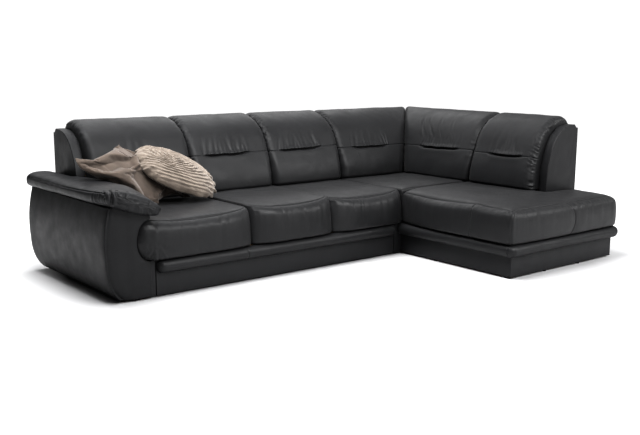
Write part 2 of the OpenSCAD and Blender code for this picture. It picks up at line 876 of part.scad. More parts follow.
function pillow_point(corners, u, v, lift) =
  let (n = cross(corners[2] - corners[0], corners[1] - corners[3]),
    flat = ((1 - u) * (1 - v) * corners[0] + (1 - u) * (1 + v) * corners[1]
      + (1 + u) * (1 + v) * corners[2] + (1 + u) * (1 - v) * corners[3]) / 4)
  [-seat_run, 0, crown_top] + flat + n / norm(n) * lift;

// One ring of a pillow: 0 is its middle and 1 its seam
function pillow_ring(corners, share, lift) =
  [for (i = [0:15])
    let (a = 360 * i / 16,
      straight = 1 / max(abs(cos(a)), abs(sin(a))),
      pull = 1 - 0.09 * (1 - abs(sin(2 * a))),
      r = share * (1 + (straight * pull - 1) * share * share))
    pillow_point(corners, r * cos(a), r * sin(a), lift)];

module pillow(corners, over, under) {
  shares = [[0.4, 0.93], [0.72, 0.66], [0.92, 0.27], [1, 0.04]];
  n = len(shares);
  rings = concat(
    [for (s = shares) pillow_ring(corners, s[0], -under * s[1])],
    [for (i = [n - 1:-1:0]) pillow_ring(corners, shares[i][0], over * shares[i][1])]);
  loft(rings, pillow_point(corners, 0, 0, -under), pillow_point(corners, 0, 0, over));
}

module scatter_cushion_plain() {
  color(taupe) pillow(plain_corners, scatter_thickness * 0.5, scatter_thickness * 0.4);
}

module scatter_cushion_pleated() {
  color(cream) pillow(pleated_corners, scatter_thickness * 0.5, scatter_thickness * 0.4);
}

// Glides under the boards of the base and the arm
module floor_glides() {
  side = side_board / 2;
  edge = glide_radius + 1;
  inset = 60;
  rows = [inset, base_depth / 2, base_depth - inset];
  thirds = [base_depth / 3, base_depth * 2 / 3];
  places = concat(
    [for (x = [side - bench_length, -side], y = rows) [x, y]],
    [for (k = [1, 2]) [-bench_length * k / 3, base_depth - edge]],
    [for (row = [0, 3]) [inset - arm_foot, arm_rib_rows[row] + arm_board / 2]],
    [for (y = [inset - ottoman_length, -ottoman_length / 3]) [edge, y]],
    [for (y = [inset - ottoman_length, -ottoman_length / 3, base_depth / 3, base_depth - inset])
      [base_depth - edge, y]],
    [for (x = thirds, y = [edge - ottoman_length, base_depth - edge]) [x, y]]);
  color(black)
  for (p = places) translate([p[0], p[1], 0]) cylinder(r = glide_radius, h = glide_height);
}

// Bolts that join the long run to the corner unit
module module_bolts() {
  color(steel)
  for (p = module_bolt_places)
    translate([-side_board, p[0], p[1]]) rotate([0, 90, 0]) {
      translate([0, 0, -bolt_head]) cylinder(r = bolt_radius * 2.25, h = bolt_head);
      cylinder(r = bolt_radius, h = side_board + panel + 1.6 * bolt_head);
      translate([0, 0, side_board + panel]) cylinder(r = bolt_radius * 2, h = bolt_head, $fn = 6);
    }
}

// Pull-out bed
panel_drop = 2;

guide_gap = 0.5;
guide_rail = 18;
guide_width = 30;
guide_inset = 40;

// Guide rails on the side boards, just over the bed frame, hold it down as it runs
module bed_guide_rails() {
  low = bed_frame_top + guide_gap;
  front = panel + guide_inset;
  rear = base_depth - panel - guide_inset;
  left = side_board - bench_length;
  color(timber) {
    box([left, front, low], [left + guide_width, rear, low + guide_rail]);
    box([-bed_right - guide_width, front, low], [-side_board, rear, low + guide_rail]);
  }
}

module bed_front_panel() {
  color(leather)
  box([-bed_left, 0, glide_height], [-bed_right, panel, base_top - panel_drop]);
}

// The roll of the pull-out front has round ends: a bar with ball ends, cut off behind its face
module bed_front_roll() {
  r = roll_radius;
  length = bed_left - bed_right - 4 - 2 * r;
  color(leather)
  difference() {
    translate([r + 2 - bed_left, r - roll_out, roll_middle]) rotate([0, 90, 0]) rotate_extrude()
      intersection() {
        union() {
          circle(r = r);
          translate([0, length]) circle(r = r);
          translate([-r, 0]) square([2 * r, length]);
        }
        translate([0, -r]) square([r, length + 2 * r]);
      }
    behind_face(-bed_left, -bed_right);
  }
}

bed_kept = 150;
bed_rear = bed_travel + bed_kept;
bed_inner = [-bed_left + bed_board, -bed_right - bed_board];
bed_bars = [for (k = [0:3]) panel + (bed_rear - bed_board - panel) * k / 3];
slat_count = 14;
slat_inset = 20;
slat_play = 2;
mattress_inset = 14;
mattress_corner = 25;

module bed_frame() {
  color(timber) {
    for (x = [-bed_left, bed_inner[1]])
      box([x, panel, bed_frame_low], [x + bed_board, bed_rear, bed_frame_top]);
    for (y = bed_bars)
      box([bed_inner[0] + board_gap, y, bed_frame_low],
        [bed_inner[1] - board_gap, y + bed_board, bed_frame_top - slat]);
  }
}

module bed_slats() {
  room = bed_inner[1] - bed_inner[0] - 2 * slat_inset;
  pitch = (room - slat_width) / (slat_count - 1);
  color(timber)
  for (i = [0:slat_count - 1])
    translate([bed_inner[0] + slat_inset + i * pitch, panel + slat_play, bed_frame_top - slat])
      cube([slat_width, bed_rear - panel - 2 * slat_play, slat]);
}

module bed_mattress() {
  r = mattress_corner;
  low = [bed_inner[0] + mattress_inset, panel + 2 * slat_play];
  high = [bed_inner[1] - mattress_inset, bed_rear - 2 * slat_play];
  color(lining)
  translate([0, 0, bed_frame_top + soft_gap])
  linear_extrude(mattress)
  union() {
    translate([low[0] + r, low[1]]) square([high[0] - low[0] - 2 * r, high[1] - low[1]]);
    translate([low[0], low[1] + r]) square([high[0] - low[0], high[1] - low[1] - 2 * r]);
    for (x = [low[0] + r, high[0] - r], y = [low[1] + r, high[1] - r]) translate([x, y]) circle(r = r);
  }
}

roller_inset = 60;
roller_step = 8;
roller_rows = [panel + roller_inset - roller_step, bed_rear - roller_inset];
roller_x = [-bed_left + bed_board / 2, -bed_right - bed_board / 2];
fork_plate = 2.5;
fork_play = 1;
fork_half = roller_width / 2 + fork_play;
fork_eye = 10;
fork_foot = 16;

// A fork under a side board: two cheeks, a top plate and the axle riveted across
module roller_fork(x, y) {
  translate([x, y, 0]) {
    for (side = [-1, 1])
      translate([side * (fork_half + fork_plate / 2), 0, 0]) rotate([0, 90, 0])
        linear_extrude(fork_plate, center = true)
        union() {
          translate([-roller_radius, 0]) circle(r = fork_eye);
          translate([-bed_frame_low, -fork_eye]) square([bed_frame_low - roller_radius, 2 * fork_eye]);
        }
    box([-fork_half - fork_plate, -fork_foot, bed_frame_low - fork_plate],
      [fork_half + fork_plate, fork_foot, bed_frame_low]);
    translate([0, 0, roller_radius]) rotate([0, 90, 0])
      cylinder(r = axle_radius, h = 2 * (fork_half + fork_plate), center = true);
  }
}

module bed_roller_forks() {
  color(steel)
  for (x = roller_x, y = roller_rows) roller_fork(x, y);
}

// A roller with a shallow groove on each face and a rounded tread
module roller() {
  rotate([0, 90, 0]) rotate_extrude() {
    w = roller_width / 2;
    bore = axle_radius + axle_clear;
    polygon([[bore, -w], [roller_radius * 0.45, -w], [roller_radius * 0.5, -w + 2],
      [roller_radius * 0.8, -w + 2], [roller_radius * 0.85, -w], [roller_radius - 2, -w],
      [roller_radius, -w + 2], [roller_radius, w - 2], [roller_radius - 2, w],
      [roller_radius * 0.85, w], [roller_radius * 0.8, w - 2], [roller_radius * 0.5, w - 2],
      [roller_radius * 0.45, w], [bore, w]]);
  }
}

module bed_rollers(y) {
  color(black)
  for (x = roller_x) translate([x, y, roller_radius]) roller();
}

module bed_rollers_front() {
  bed_rollers(roller_rows[0]);
}

module bed_rollers_rear() {
  bed_rollers(roller_rows[1]);
}

placed() bench_side_board_left();
placed() bench_side_board_right();
placed() bench_rear_board();
placed() bench_deck_rails();
placed() bench_seat_frames();
placed() bench_springs();
placed() seat_cushion_left();
placed() seat_cushion_middle();
placed() seat_cushion_right();
placed() bed_guide_rails();
placed() floor_glides();
placed() module_bolts();
placed() plinth_panel_inner();
placed() plinth_panel_front();
placed() plinth_panel_right();
placed() plinth_panel_rear();
placed() roll_inner();
placed() roll_front();
placed() roll_right();
placed() corner_deck_rails();
placed() corner_bottom_board();
placed() corner_seat_frames();
placed() corner_springs();
placed() seat_cushion_corner();
placed() seat_cushion_ottoman();
placed() back_ribs_bench();
placed() back_rails_bench();
placed() back_webbing_bench();
placed() back_rear_panel_bench();
placed() back_end_pad_left();
placed() back_ribs_corner();
placed() back_rails_corner();
placed() back_webbing_corner();
placed() back_rear_panel_corner();
placed() back_right_panel_corner();
placed() back_end_pad_right();
placed() back_cushion_1();
placed() back_cushion_2();
placed() back_cushion_3();
placed() back_cushion_4();
placed() back_cushion_5();
placed() back_cushion_6();
placed() arm_outer_panel();
placed() arm_inner_panel();
placed() arm_front_panel();
placed() arm_rear_panel();
placed() arm_ribs();
placed() arm_pad_board();
placed() arm_pad();
placed() arm_bolts();
placed() scatter_cushion_plain();
placed() scatter_cushion_pleated();
placed() bed_front_panel();
placed() bed_front_roll();
placed() bed_frame();
placed() bed_slats();
placed() bed_mattress();
placed() bed_roller_forks();
placed() bed_rollers_front();
placed() bed_rollers_rear();
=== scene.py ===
"""Looks of the corner sofa: cushions, rolls, arm, scatter cushions and bed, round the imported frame."""

import math

import bpy
import numpy as np
from mathutils import Matrix, Vector
from mathutils.bvhtree import BVHTree


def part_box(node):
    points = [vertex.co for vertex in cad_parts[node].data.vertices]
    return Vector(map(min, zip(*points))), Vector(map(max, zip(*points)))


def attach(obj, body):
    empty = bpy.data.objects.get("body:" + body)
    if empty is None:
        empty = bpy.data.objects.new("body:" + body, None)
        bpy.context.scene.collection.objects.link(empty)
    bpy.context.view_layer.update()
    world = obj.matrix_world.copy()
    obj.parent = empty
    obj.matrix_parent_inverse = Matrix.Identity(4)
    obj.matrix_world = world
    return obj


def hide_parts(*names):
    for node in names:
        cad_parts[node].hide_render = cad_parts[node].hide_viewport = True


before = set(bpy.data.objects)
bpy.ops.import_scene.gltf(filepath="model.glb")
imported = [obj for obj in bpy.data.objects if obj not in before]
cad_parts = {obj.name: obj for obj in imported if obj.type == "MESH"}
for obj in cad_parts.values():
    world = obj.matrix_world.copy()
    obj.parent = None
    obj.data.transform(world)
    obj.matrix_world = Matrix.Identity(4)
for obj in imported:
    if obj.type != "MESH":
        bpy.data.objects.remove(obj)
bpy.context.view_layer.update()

# In metres: the inner plinth's low corner in the design, and the way from the design to the part
INNER_LOW = np.array([0.0, -0.915, 0.010])
SHIFT = np.array(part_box("plinth_panel_inner")[0]) - INNER_LOW

# All else is in design millimetres, from the inner floor corner of the corner unit. X runs right and Y back
SEAT_RUN, PLACE, BASE_DEPTH, OTTOMAN = 1930.0, 600.0, 1010.0, 915.0
BACK_REACH, BACK_JOINT, SEAT_REAR = 620.0, 30.0, 695.0
SEAT_LOW, RECESS, SEAM, CROWN = 208.5, 249.1, 400.0, 430.0
BACK_REAR, BACK_BASE, BACK_TOP, BACK_KNEE = 1005.0, 295.0, 835.0, 450.0
ARM_TOP, ROLL_LOW, ROLL_TOP, ROLL_OUT = 510.0, 130.0, 205.0, 42.0
GAP = 0.3
UP, FORWARD = (0, 0, 1), (0, -1, 0)

# The photo's camera, found from the sofa's straight edges
CAMERA_PLACE = np.array([-4037.0, -4109.0, 1259.0])
YAW, PITCH, TILT = math.radians(-39.15), math.radians(90 - 10.12), math.radians(0.3)
CAMERA_TURN = Matrix.Rotation(YAW, 3, "Z") @ Matrix.Rotation(PITCH, 3, "X") @ Matrix.Rotation(TILT, 3, "Z")
LENS, SENSOR, PHOTO_WIDE, PHOTO_HIGH = 49.76, 36.0, 640, 435

# Numbers

HASH_STEPS = (73856093, 19349663, 83492791)
HASH_ROUNDS = ((15, 2246822519), (13, 3266489917))


def lattice_value(seed, cells):
    """A repeatable number from -1 to 1 for each whole-numbered cell."""
    h = np.full(np.shape(cells[0]), seed * 2654435761 % 2**32, np.uint64)
    for step, c in zip(HASH_STEPS, cells):
        h = h ^ (c.astype(np.int64) * step % 2**32).astype(np.uint64)
        for shift, factor in HASH_ROUNDS:
            h = (h ^ (h >> np.uint64(shift))) * np.uint64(factor) % np.uint64(2**32)
    return h.astype(float) / 2**31 - 1


def smooth(u):
    """Goes softly from 0 to 1 as u does."""
    v = np.clip(u, 0, 1)
    return v * v * (3 - 2 * v)


def bell(x):
    return np.exp(-x * x)


def fade(d, wide):
    """Falls from 1 at a distance of 0 towards 0."""
    return np.exp(-np.maximum(d, 0) / wide)


def crease(d, wide):
    """Rises from 0 at a distance of 0 towards 1."""
    return 1 - fade(d, wide)


def arch(x, power=2.0):
    """A round arch: 1 at 0, and 0 at 1 and -1."""
    return np.sqrt(np.clip(1 - np.abs(x) ** power, 0, 1))


def signed_power(x, power):
    return np.sign(x) * np.abs(x) ** power


def fold(away, wide, ridge, beside):
    """Profile of a fold: a valley, and a lower ridge some widths beside it."""
    return ridge * bell(away / wide - beside) - bell(away / wide)


def to_end(x, low, high):
    """Distance to the nearer end."""
    return np.minimum(x - low, high - x)


def running(steps):
    """Sums so far, from 0."""
    return np.concatenate([[0], np.cumsum(steps)])


def arc_length(a, b):
    return running(np.hypot(np.diff(a), np.diff(b)))


def sorted_places(*parts):
    return np.unique(np.concatenate(parts))


def xyz(x, y, z):
    return np.stack(np.broadcast_arrays(x, y, z), -1)


def noise(seed, *axes):
    """Smooth noise from -1 to 1 along one to three axes."""
    axes = np.broadcast_arrays(*[np.asarray(a, float) for a in axes])
    base = [np.floor(a) for a in axes]
    part = [smooth(a - b) for a, b in zip(axes, base)]
    total = 0.0
    for corner in range(2 ** len(axes)):
        bits = [corner >> k & 1 for k in range(len(axes))]
        weight = math.prod(f if bit else 1 - f for f, bit in zip(part, bits))
        total = total + weight * lattice_value(seed, [b + bit for b, bit in zip(base, bits)])
    return total


def table(x, rows):
    """A smooth curve through (x, y) rows that never overshoots."""
    xs, ys = np.array(rows, float).T
    step = np.diff(xs)
    slope = np.diff(ys) / step
    tangent = np.zeros(len(xs))
    same = slope[1:] * slope[:-1] > 0
    before, after = slope[:-1][same], slope[1:][same]
    tangent[1:-1][same] = 2 * after * before / (after + before)
    tangent[0], tangent[-1] = slope[0], slope[-1]
    x = np.clip(x, xs[0], xs[-1])
    i = np.clip(np.searchsorted(xs, x, side="right") - 1, 0, len(step) - 1)
    t = (x - xs[i]) / step[i]
    heights = ys[i] * (1 + 2 * t) * (1 - t) ** 2 + ys[i + 1] * t * t * (3 - 2 * t)
    return heights + step[i] * (tangent[i] * t * (1 - t) ** 2 + tangent[i + 1] * t * t * (t - 1))


def axis(low, high, step, near, reach, fine=None):
    """Places from low to high, close together near both ends or else near the given places."""
    x = np.linspace(low, high, 3001)
    spacing = np.full(x.shape, float(step))
    for place in fine or (low, high):
        away = np.clip(np.abs(x - place) / reach - 0.6, 0, 2) / 2
        spacing = np.minimum(spacing, near + (step - near) * away)
    count = running((1 / spacing[1:] + 1 / spacing[:-1]) / 2 * np.diff(x))
    return np.interp(np.linspace(0, count[-1], max(3, int(count[-1]) + 2)), count, x)


def design_box(node):
    """Low and high corner of one of the frame's nodes."""
    return [(np.array(c) - SHIFT) * 1000 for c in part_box(node)]


# Forms: points, faces and what is done to them


class Form:
    """A closed mesh in design millimetres."""

    def __init__(self, points, quads, triangles=()):
        self.p = np.array(points, float)
        self.quads = np.array(quads, int).reshape(-1, 4)
        self.triangles = np.array(triangles, int).reshape(-1, 3)

    def faces(self):
        return self.quads.tolist() + self.triangles.tolist()

    def normals(self):
        n = np.zeros(self.p.shape)
        for faces in (self.quads, self.triangles):
            # A triangle's last corner stands in for the fourth
            a, b, c, d = (self.p[faces[:, k]] for k in (0, 1, 2, -1))
            across = np.cross(c - a, d - b)
            for corner in faces.T:
                for i in range(3):
                    n[:, i] += np.bincount(corner, across[:, i], len(self.p))
        return n / np.maximum(np.linalg.norm(n, axis=1), 1e-9)[:, None]

    def soften(self, rounds, where=1.0):
        """Rounds the edges off, only where `where` is above 0."""
        both = (self.quads, self.triangles)
        rims = [faces[:, [k - 1, k]] for faces in both for k in range(faces.shape[1])]
        edges = np.unique(np.sort(np.concatenate(rims), axis=1), axis=0)
        a, b = edges.T
        count = np.bincount(edges.ravel(), minlength=len(self.p))[:, None]
        pull = (0.5 * np.broadcast_to(where, len(self.p)))[:, None]
        for _ in range(rounds):
            total = [np.bincount(a, x[b], len(x)) + np.bincount(b, x[a], len(x)) for x in self.p.T]
            self.p += (np.stack(total, 1) / count - self.p) * pull

    def push(self, amount, along=None):
        """Moves points along their normals, or along one direction."""
        along = self.normals() if along is None else np.asarray(along, float)
        self.p += along * np.broadcast_to(amount, len(self.p))[:, None]

    def flip(self):
        """Turns every face to its other side."""
        self.quads, self.triangles = self.quads[:, ::-1], self.triangles[:, ::-1]

    def mirror(self):
        """Moves the form to the same place on the right-hand backrest."""
        self.p = self.p[:, [1, 0, 2]]
        self.flip()


def block(us, vs, ws, plan=None):
    """Surface of a block of cells: each corner's three numbers, the quads, and each corner's three places.
    plan marks the cells of U and V that are there."""
    nu, nv, nw = len(us), len(vs), len(ws)
    plan = np.ones((nu - 1, nv - 1), bool) if plan is None else plan
    full = np.pad(plan, 1)
    around = [full[i : i + nu, j : j + nv] for i in (0, 1) for j in (0, 1)]
    there = np.repeat(np.any(around, 0)[:, :, None], nw, 2)
    there[:, :, 1:-1] &= ~np.all(around, 0)[:, :, None]
    number = np.full(there.shape, -1)
    number[there] = np.arange(there.sum())
    quads = []

    def add(corners, turned):
        four = np.stack([number[corner] for corner in corners], 1)
        quads.append(four[:, ::-1] if turned else four)

    i, j = np.nonzero(plan)
    for k in (0, nw - 1):
        add(((i, j, k), (i + 1, j, k), (i + 1, j + 1, k), (i, j + 1, k)), k == 0)
    for di, dj in ((-1, 0), (1, 0), (0, -1), (0, 1)):
        i, j = np.nonzero(plan & ~full[1 + di : nu + di, 1 + dj : nv + dj])
        a = (i + (di > 0), j + (dj > 0))
        b = (i + (di >= 0), j + (dj >= 0))
        for k in range(nw - 1):
            add((a + (k,), b + (k,), b + (k + 1,), a + (k + 1,)), di < 0 or dj > 0)
    i, j, k = np.argwhere(there).T
    return (i, j, k), np.concatenate(quads), us[i], vs[j], ws[k]


def ring_form(rings):
    """A closed form through rings of points, with a pole at each end."""
    rings = np.asarray(rings, float)
    m, n, _ = rings.shape
    number = np.arange(m * n).reshape(m, n)
    ahead = np.roll(number, -1, axis=1)
    quads = np.stack([number[:-1], ahead[:-1], ahead[1:], number[1:]], -1)
    caps = [xyz(m * n, ahead[0], number[0]), xyz(m * n + 1, number[-1], ahead[-1])]
    poles = [rings[0].mean(0), rings[-1].mean(0)]
    return Form(np.concatenate([rings.reshape(-1, 3), poles]), quads, np.concatenate(caps))


def near_line(points, line, chunk=20000):
    """Distance of each point from a line of points, and how far along the line that is."""
    line = np.asarray(line, float)
    a, d = line[:-1], np.diff(line, axis=0)
    length = np.linalg.norm(d, axis=1)
    start = running(length)[:-1]
    away, along = [], []
    for k in range(0, len(points), chunk):
        rel = points[k : k + chunk, None] - a
        t = np.clip((rel * d).sum(-1) / length**2, 0, 1)
        gap = np.linalg.norm(rel - t[..., None] * d, axis=2)
        best = gap.argmin(1)
        rows = np.arange(len(best))
        away.append(gap[rows, best])
        along.append((start + t * length)[rows, best])
    return np.concatenate(away), np.concatenate(along)


def groove(form, line, depth, width):
    """A sewn line: a narrow valley along a line of points on the form."""
    away, _ = near_line(form.p, line)
    form.push(-depth * bell(away / width))


def sew(form, mask, order):
    """Sews a seam through the lattice points in mask, in the order of one of their numbers."""
    groove(form, form.p[mask][np.argsort(order[mask])], 3.6, 3.2)


# Materials


class Nodes:
    """A short way to write a tree of shader nodes."""

    def __init__(self, tree):
        self.tree = tree

    def put(self, value, socket):
        """Sets a socket to a value, or links another node's output to it."""
        if isinstance(value, bpy.types.NodeSocket):
            self.tree.links.new(value, socket)
        else:
            socket.default_value = value

    def add(self, kind, inputs=(), **values):
        node = self.tree.nodes.new(kind)
        for key, value in values.items():
            setattr(node, key, value)
        for key, value in dict(inputs).items():
            self.put(value, node.inputs[key])
        return node

    def range(self, value, low, high, to_low=0.0, to_high=1.0, **values):
        inputs = {"Value": value, "From Min": low, "From Max": high, "To Min": to_low, "To Max": to_high}
        return self.add("ShaderNodeMapRange", inputs, **values).outputs["Result"]


class Surface(Nodes):
    """A short way to write a material."""

    def __init__(self, name):
        self.material = bpy.data.materials.new(name)
        self.material.use_nodes = True
        super().__init__(self.material.node_tree)
        self.shader = self.tree.nodes["Principled BSDF"]
        self.place = self.add("ShaderNodeTexCoord").outputs["Object"]

    def noise(self, scale, detail=3.0, roughness=0.55, place=None, distortion=0.0):
        inputs = {"Vector": place or self.place, "Scale": scale, "Detail": detail}
        inputs |= {"Roughness": roughness, "Distortion": distortion}
        return self.add("ShaderNodeTexNoise", inputs).outputs["Fac"]

    def spread(self, value, to_low=0.0, to_high=1.0):
        """The middle part of a noise, stretched."""
        return self.range(value, 0.3, 0.7, to_low, to_high)

    def cells(self, scale, feature, randomness=1.0):
        inputs = {"Vector": self.place, "Scale": scale, "Randomness": randomness}
        return self.add("ShaderNodeTexVoronoi", inputs, feature=feature).outputs["Distance"]

    def pointiness(self, low, high):
        return self.range(self.add("ShaderNodeNewGeometry").outputs["Pointiness"], low, high)

    def stretched(self, x, y, z):
        return self.add("ShaderNodeMapping", {"Vector": self.place, "Scale": (x, y, z)}).outputs["Vector"]

    def math(self, operation, a, b=0.0):
        return self.add("ShaderNodeMath", {0: a, 1: b}, operation=operation).outputs["Value"]

    def mix(self, share, a, b):
        node = self.add("ShaderNodeMix", {"Factor": share}, data_type="RGBA")
        for name, value in (("A", a), ("B", b)):
            socket = next(s for s in node.inputs if s.name == name and s.type == "RGBA")
            self.put(value if isinstance(value, bpy.types.NodeSocket) else (*value, 1.0), socket)
        return next(s for s in node.outputs if s.type == "RGBA")

    def bump(self, height, distance, strength, under=None):
        inputs = {"Height": height, "Distance": distance, "Strength": strength}
        if under is not None:
            inputs["Normal"] = under
        return self.add("ShaderNodeBump", inputs).outputs["Normal"]

    def finish(self, colour, roughness, **others):
        for name, value in {"Base_Color": colour, "Roughness": roughness, **others}.items():
            self.put(value, self.shader.inputs[name.replace("_", " ")])
        return self.material


def shade(colour, share):
    return [c * share for c in colour]


def leather(name, dark, light, roughness, grain=1.0, sheen=0.0):
    """Smooth coated leather: pebble grain, soft cloudy tone, lighter on worn edges; painted shade in its
    seams.
    """
    n = Surface(name)
    tone = n.mix(n.spread(n.noise(2.6, 4.0)), dark, light)
    fleck = n.range(n.noise(420.0, 2.0), 0.35, 0.75, 0.0, 0.35)
    tone = n.mix(fleck, tone, shade(light, 1.35))
    edge = n.pointiness(0.38, 0.62)
    # Painted shade: the colour is darker where the surface is hollow, in seams, creases and folds
    tone = n.mix(n.range(edge, 0.0, 0.42, 0.7, 0.0), tone, shade(dark, 0.3))
    tone = n.mix(n.range(edge, 0.62, 1.0, 0.0, 0.4), tone, shade(light, 1.8))
    pebble = n.math("MULTIPLY", n.cells(620.0, "SMOOTH_F1"), 0.5)
    wrinkle = n.range(n.cells(210.0, "DISTANCE_TO_EDGE", 0.9), 0.0, 0.12, 0.0, 0.5)
    fine = n.bump(n.math("ADD", pebble, wrinkle), 0.00022, 0.35 * grain)
    normal = n.bump(n.noise(38.0), 0.0012, 0.35, under=fine)
    rough = n.spread(n.noise(11.0), roughness - 0.05, roughness + 0.07)
    n.finish(tone, rough, Normal=normal, Specular_IOR_Level=0.3, Sheen_Weight=sheen, Sheen_Roughness=0.5)
    return n.material


def woven(name, dark, light, pitch):
    """Cloth with a plain weave, a slightly uneven tone and a soft sheen."""
    n = Surface(name)
    parts = n.add("ShaderNodeSeparateXYZ", {0: n.place}).outputs
    waves = [n.math("SINE", n.math("MULTIPLY", part, 2 * math.pi / pitch)) for part in parts]
    weave = 0.0
    for a, b in ((0, 2), (1, 2), (0, 1)):
        weave = n.math("ADD", n.math("MULTIPLY", waves[a], waves[b]), weave)
    yarn = n.range(weave, -1.0, 1.0)
    tone = n.mix(n.spread(n.noise(9.0, 4.0)), dark, light)
    tone = n.mix(n.range(yarn, 0.0, 1.0, 0.35, 0.0), tone, shade(dark, 0.5))
    fuzz = n.noise(900.0, 2.0)
    normal = n.bump(n.math("ADD", yarn, n.math("MULTIPLY", fuzz, 0.6)), 0.0004, 0.6)
    return n.finish(tone, n.spread(fuzz, 0.79, 0.91), Normal=normal, Sheen_Weight=0.3, Sheen_Roughness=0.5)


def suede(name, dark, light):
    """Soft suede-like cloth: napped in patches, with a broad sheen and painted shade in its hollows."""
    n = Surface(name)
    nap = n.noise(16.0, 5.0, 0.6, distortion=0.6)
    tone = n.mix(n.spread(nap), dark, light)
    # Painted shade: the colour is darker where the cloth is hollow, in its folds and pleats
    tone = n.mix(n.range(n.pointiness(0.44, 0.58), 0.0, 0.5, 0.5, 0.0), tone, shade(dark, 0.55))
    fibre = n.noise(1300.0, 2.0)
    tone = n.mix(n.spread(fibre, 0.0, 0.2), tone, shade(light, 1.2))
    normal = n.bump(fibre, 0.0005, 0.4, under=n.bump(nap, 0.002, 0.3))
    return n.finish(tone, n.spread(nap, 0.72, 0.86), Normal=normal, Sheen_Weight=0.35, Sheen_Roughness=0.45)


def wood(name, dark, light, along=(1.0, 14.0, 14.0)):
    """Planed timber with its grain along one axis."""
    n = Surface(name)
    place = n.stretched(*along)
    rings = n.noise(4.0, 6.0, 0.65, place, 1.4)
    fibre = n.noise(46.0, 3.0, 0.6, place)
    tone = n.mix(n.range(rings, 0.32, 0.68), dark, light)
    tone = n.mix(n.range(fibre, 0.4, 0.8, 0.0, 0.5), tone, shade(dark, 0.7))
    return n.finish(tone, n.spread(rings, 0.6, 0.72), Normal=n.bump(fibre, 0.0004, 0.5))


def steel(name, base, roughness=0.32):
    n = Surface(name)
    scratch = n.noise(60.0, 3.0, 0.6, n.stretched(1.0, 1.0, 26.0))
    tone = n.mix(n.spread(n.noise(14.0)), shade(base, 0.8), base)
    rough = n.spread(scratch, roughness - 0.08, roughness + 0.14)
    return n.finish(tone, rough, Normal=n.bump(scratch, 0.0001, 0.4), Metallic=1.0)


def plastic(name, dark, light):
    n = Surface(name)
    tone = n.mix(n.spread(n.noise(30.0, 4.0)), dark, light)
    rough = n.spread(n.noise(200.0, 2.0), 0.45, 0.6)
    return n.finish(tone, rough, Normal=n.bump(n.noise(700.0, 2.0), 0.0002, 0.4))


LEATHER = leather("leather_cushions", (0.0118, 0.0119, 0.0126), (0.0178, 0.0180, 0.0188), 0.43, sheen=0.035)
PADDING = leather("leather_padding", (0.0125, 0.0126, 0.0134), (0.0185, 0.0187, 0.0196), 0.44)
# A darker copy of the cushions' leather: painted shade on the low and upright panels and the arm's sides
PANELS_IN_PAINTED_SHADE = leather("leather_panels", (0.0090, 0.0091, 0.0098), (0.0140, 0.0142, 0.0150), 0.46, 0.8)
LINING = woven("rear_lining", (0.013, 0.013, 0.014), (0.02, 0.02, 0.021), 0.0022)
TIMBER = wood("frame_timber", (0.36, 0.22, 0.1), (0.58, 0.4, 0.22))
BED_TIMBER = wood("bed_timber", (0.42, 0.27, 0.13), (0.64, 0.46, 0.27))
PLYWOOD = wood("plywood", (0.32, 0.19, 0.09), (0.5, 0.34, 0.18), (3.0, 3.0, 30.0))
SPRING = steel("spring_wire", (0.4, 0.41, 0.42))
FITTINGS = steel("steel_fittings", (0.55, 0.56, 0.58), 0.28)
PLASTIC = plastic("black_plastic", (0.008, 0.008, 0.009), (0.016, 0.016, 0.017))
WEBBING = woven("webbing", (0.01, 0.01, 0.011), (0.02, 0.02, 0.022), 0.003)
TICKING = woven("mattress_cover", (0.07, 0.07, 0.075), (0.11, 0.11, 0.115), 0.0026)
TAUPE = suede("taupe_cloth", (0.046, 0.035, 0.0275), (0.080, 0.062, 0.050))
CREAM = suede("pleated_cloth", (0.107, 0.088, 0.072), (0.188, 0.158, 0.132))

# Pieces


def piece(name, form, material, nodes, body="sofa"):
    """Puts a form into the scene as a piece of the object."""
    mesh = bpy.data.meshes.new(name)
    mesh.from_pydata((form.p * 0.001 + SHIFT).tolist(), [], form.faces())
    mesh.validate()
    mesh.polygons.foreach_set("use_smooth", np.ones(len(mesh.polygons), bool))
    mesh.update()
    obj = bpy.data.objects.new(name, mesh)
    bpy.context.scene.collection.objects.link(obj)
    obj.data.materials.append(material)
    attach(obj, body)
    if nodes:
        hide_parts(*nodes)


# Seats

FRONT_LOW, FRONT_HIGH = ((208.5, 35), (211, 39), (222, 43), (260, 46)), ((310, 46), (360, 40), (382, 27))
FRONT_SWELL = FRONT_LOW + FRONT_HIGH + ((393, 13), (400, 0))
SIDE_INSET = ((208.5, 6), (214, 2.5), (224.5, GAP), (375, GAP), (388, 1.4), (395, 4.0), (400, 8))
SEAM_DRAW = ((208.5, 4), (224, 8), (260, 16), (310, 27), (360, 44), (390, 56), (400, 60))
# The underside's rim round its recess, how much the seam climbs to a seat's ends, and the bolster's middle
RIM, CLIMB, BOLSTER = 27.0, 25.0, 305.0


def climb(s):
    """How much higher a seat's edge seam runs towards its ends."""
    return CLIMB * np.abs(2 * s - 1) ** 2.2


def lifted(z, amount):
    """Raises the upper part of a wall, so that its seam follows the climb."""
    return z + amount * smooth((z - 290) / 110)


def swell_share(s, left):
    """How full a seat's front is along its width, with left for how late its left end gets thin."""
    return np.where(s < 0.5, 1 - (1 - 2 * s).clip(0) ** left, 1 - 0.55 * (2 * s - 1).clip(0) ** 4)


def shoulder(d, share):
    """How a seat's top rises from its edge seam: a tight roll, then a long slope."""
    return share * crease(d, 9) + (1 - share) * crease(d, 80)


def rim_places(low, high):
    return [low + RIM, low + RIM + 0.2, high - RIM - 0.2, high - RIM]


def seat_lattice(xs, ys, plan=None):
    """A seat's block, and which of its points are on the top and on the bottom."""
    zs = np.concatenate([[SEAT_LOW], axis(SEAT_LOW + 3, SEAM, 9.0, 2.2, 20.0, (SEAM, SEAT_LOW))])
    (i, j, k), quads, u, v, z = block(xs, ys, zs, plan)
    return i, j, quads, u, v, z, k == k.max(), k == 0


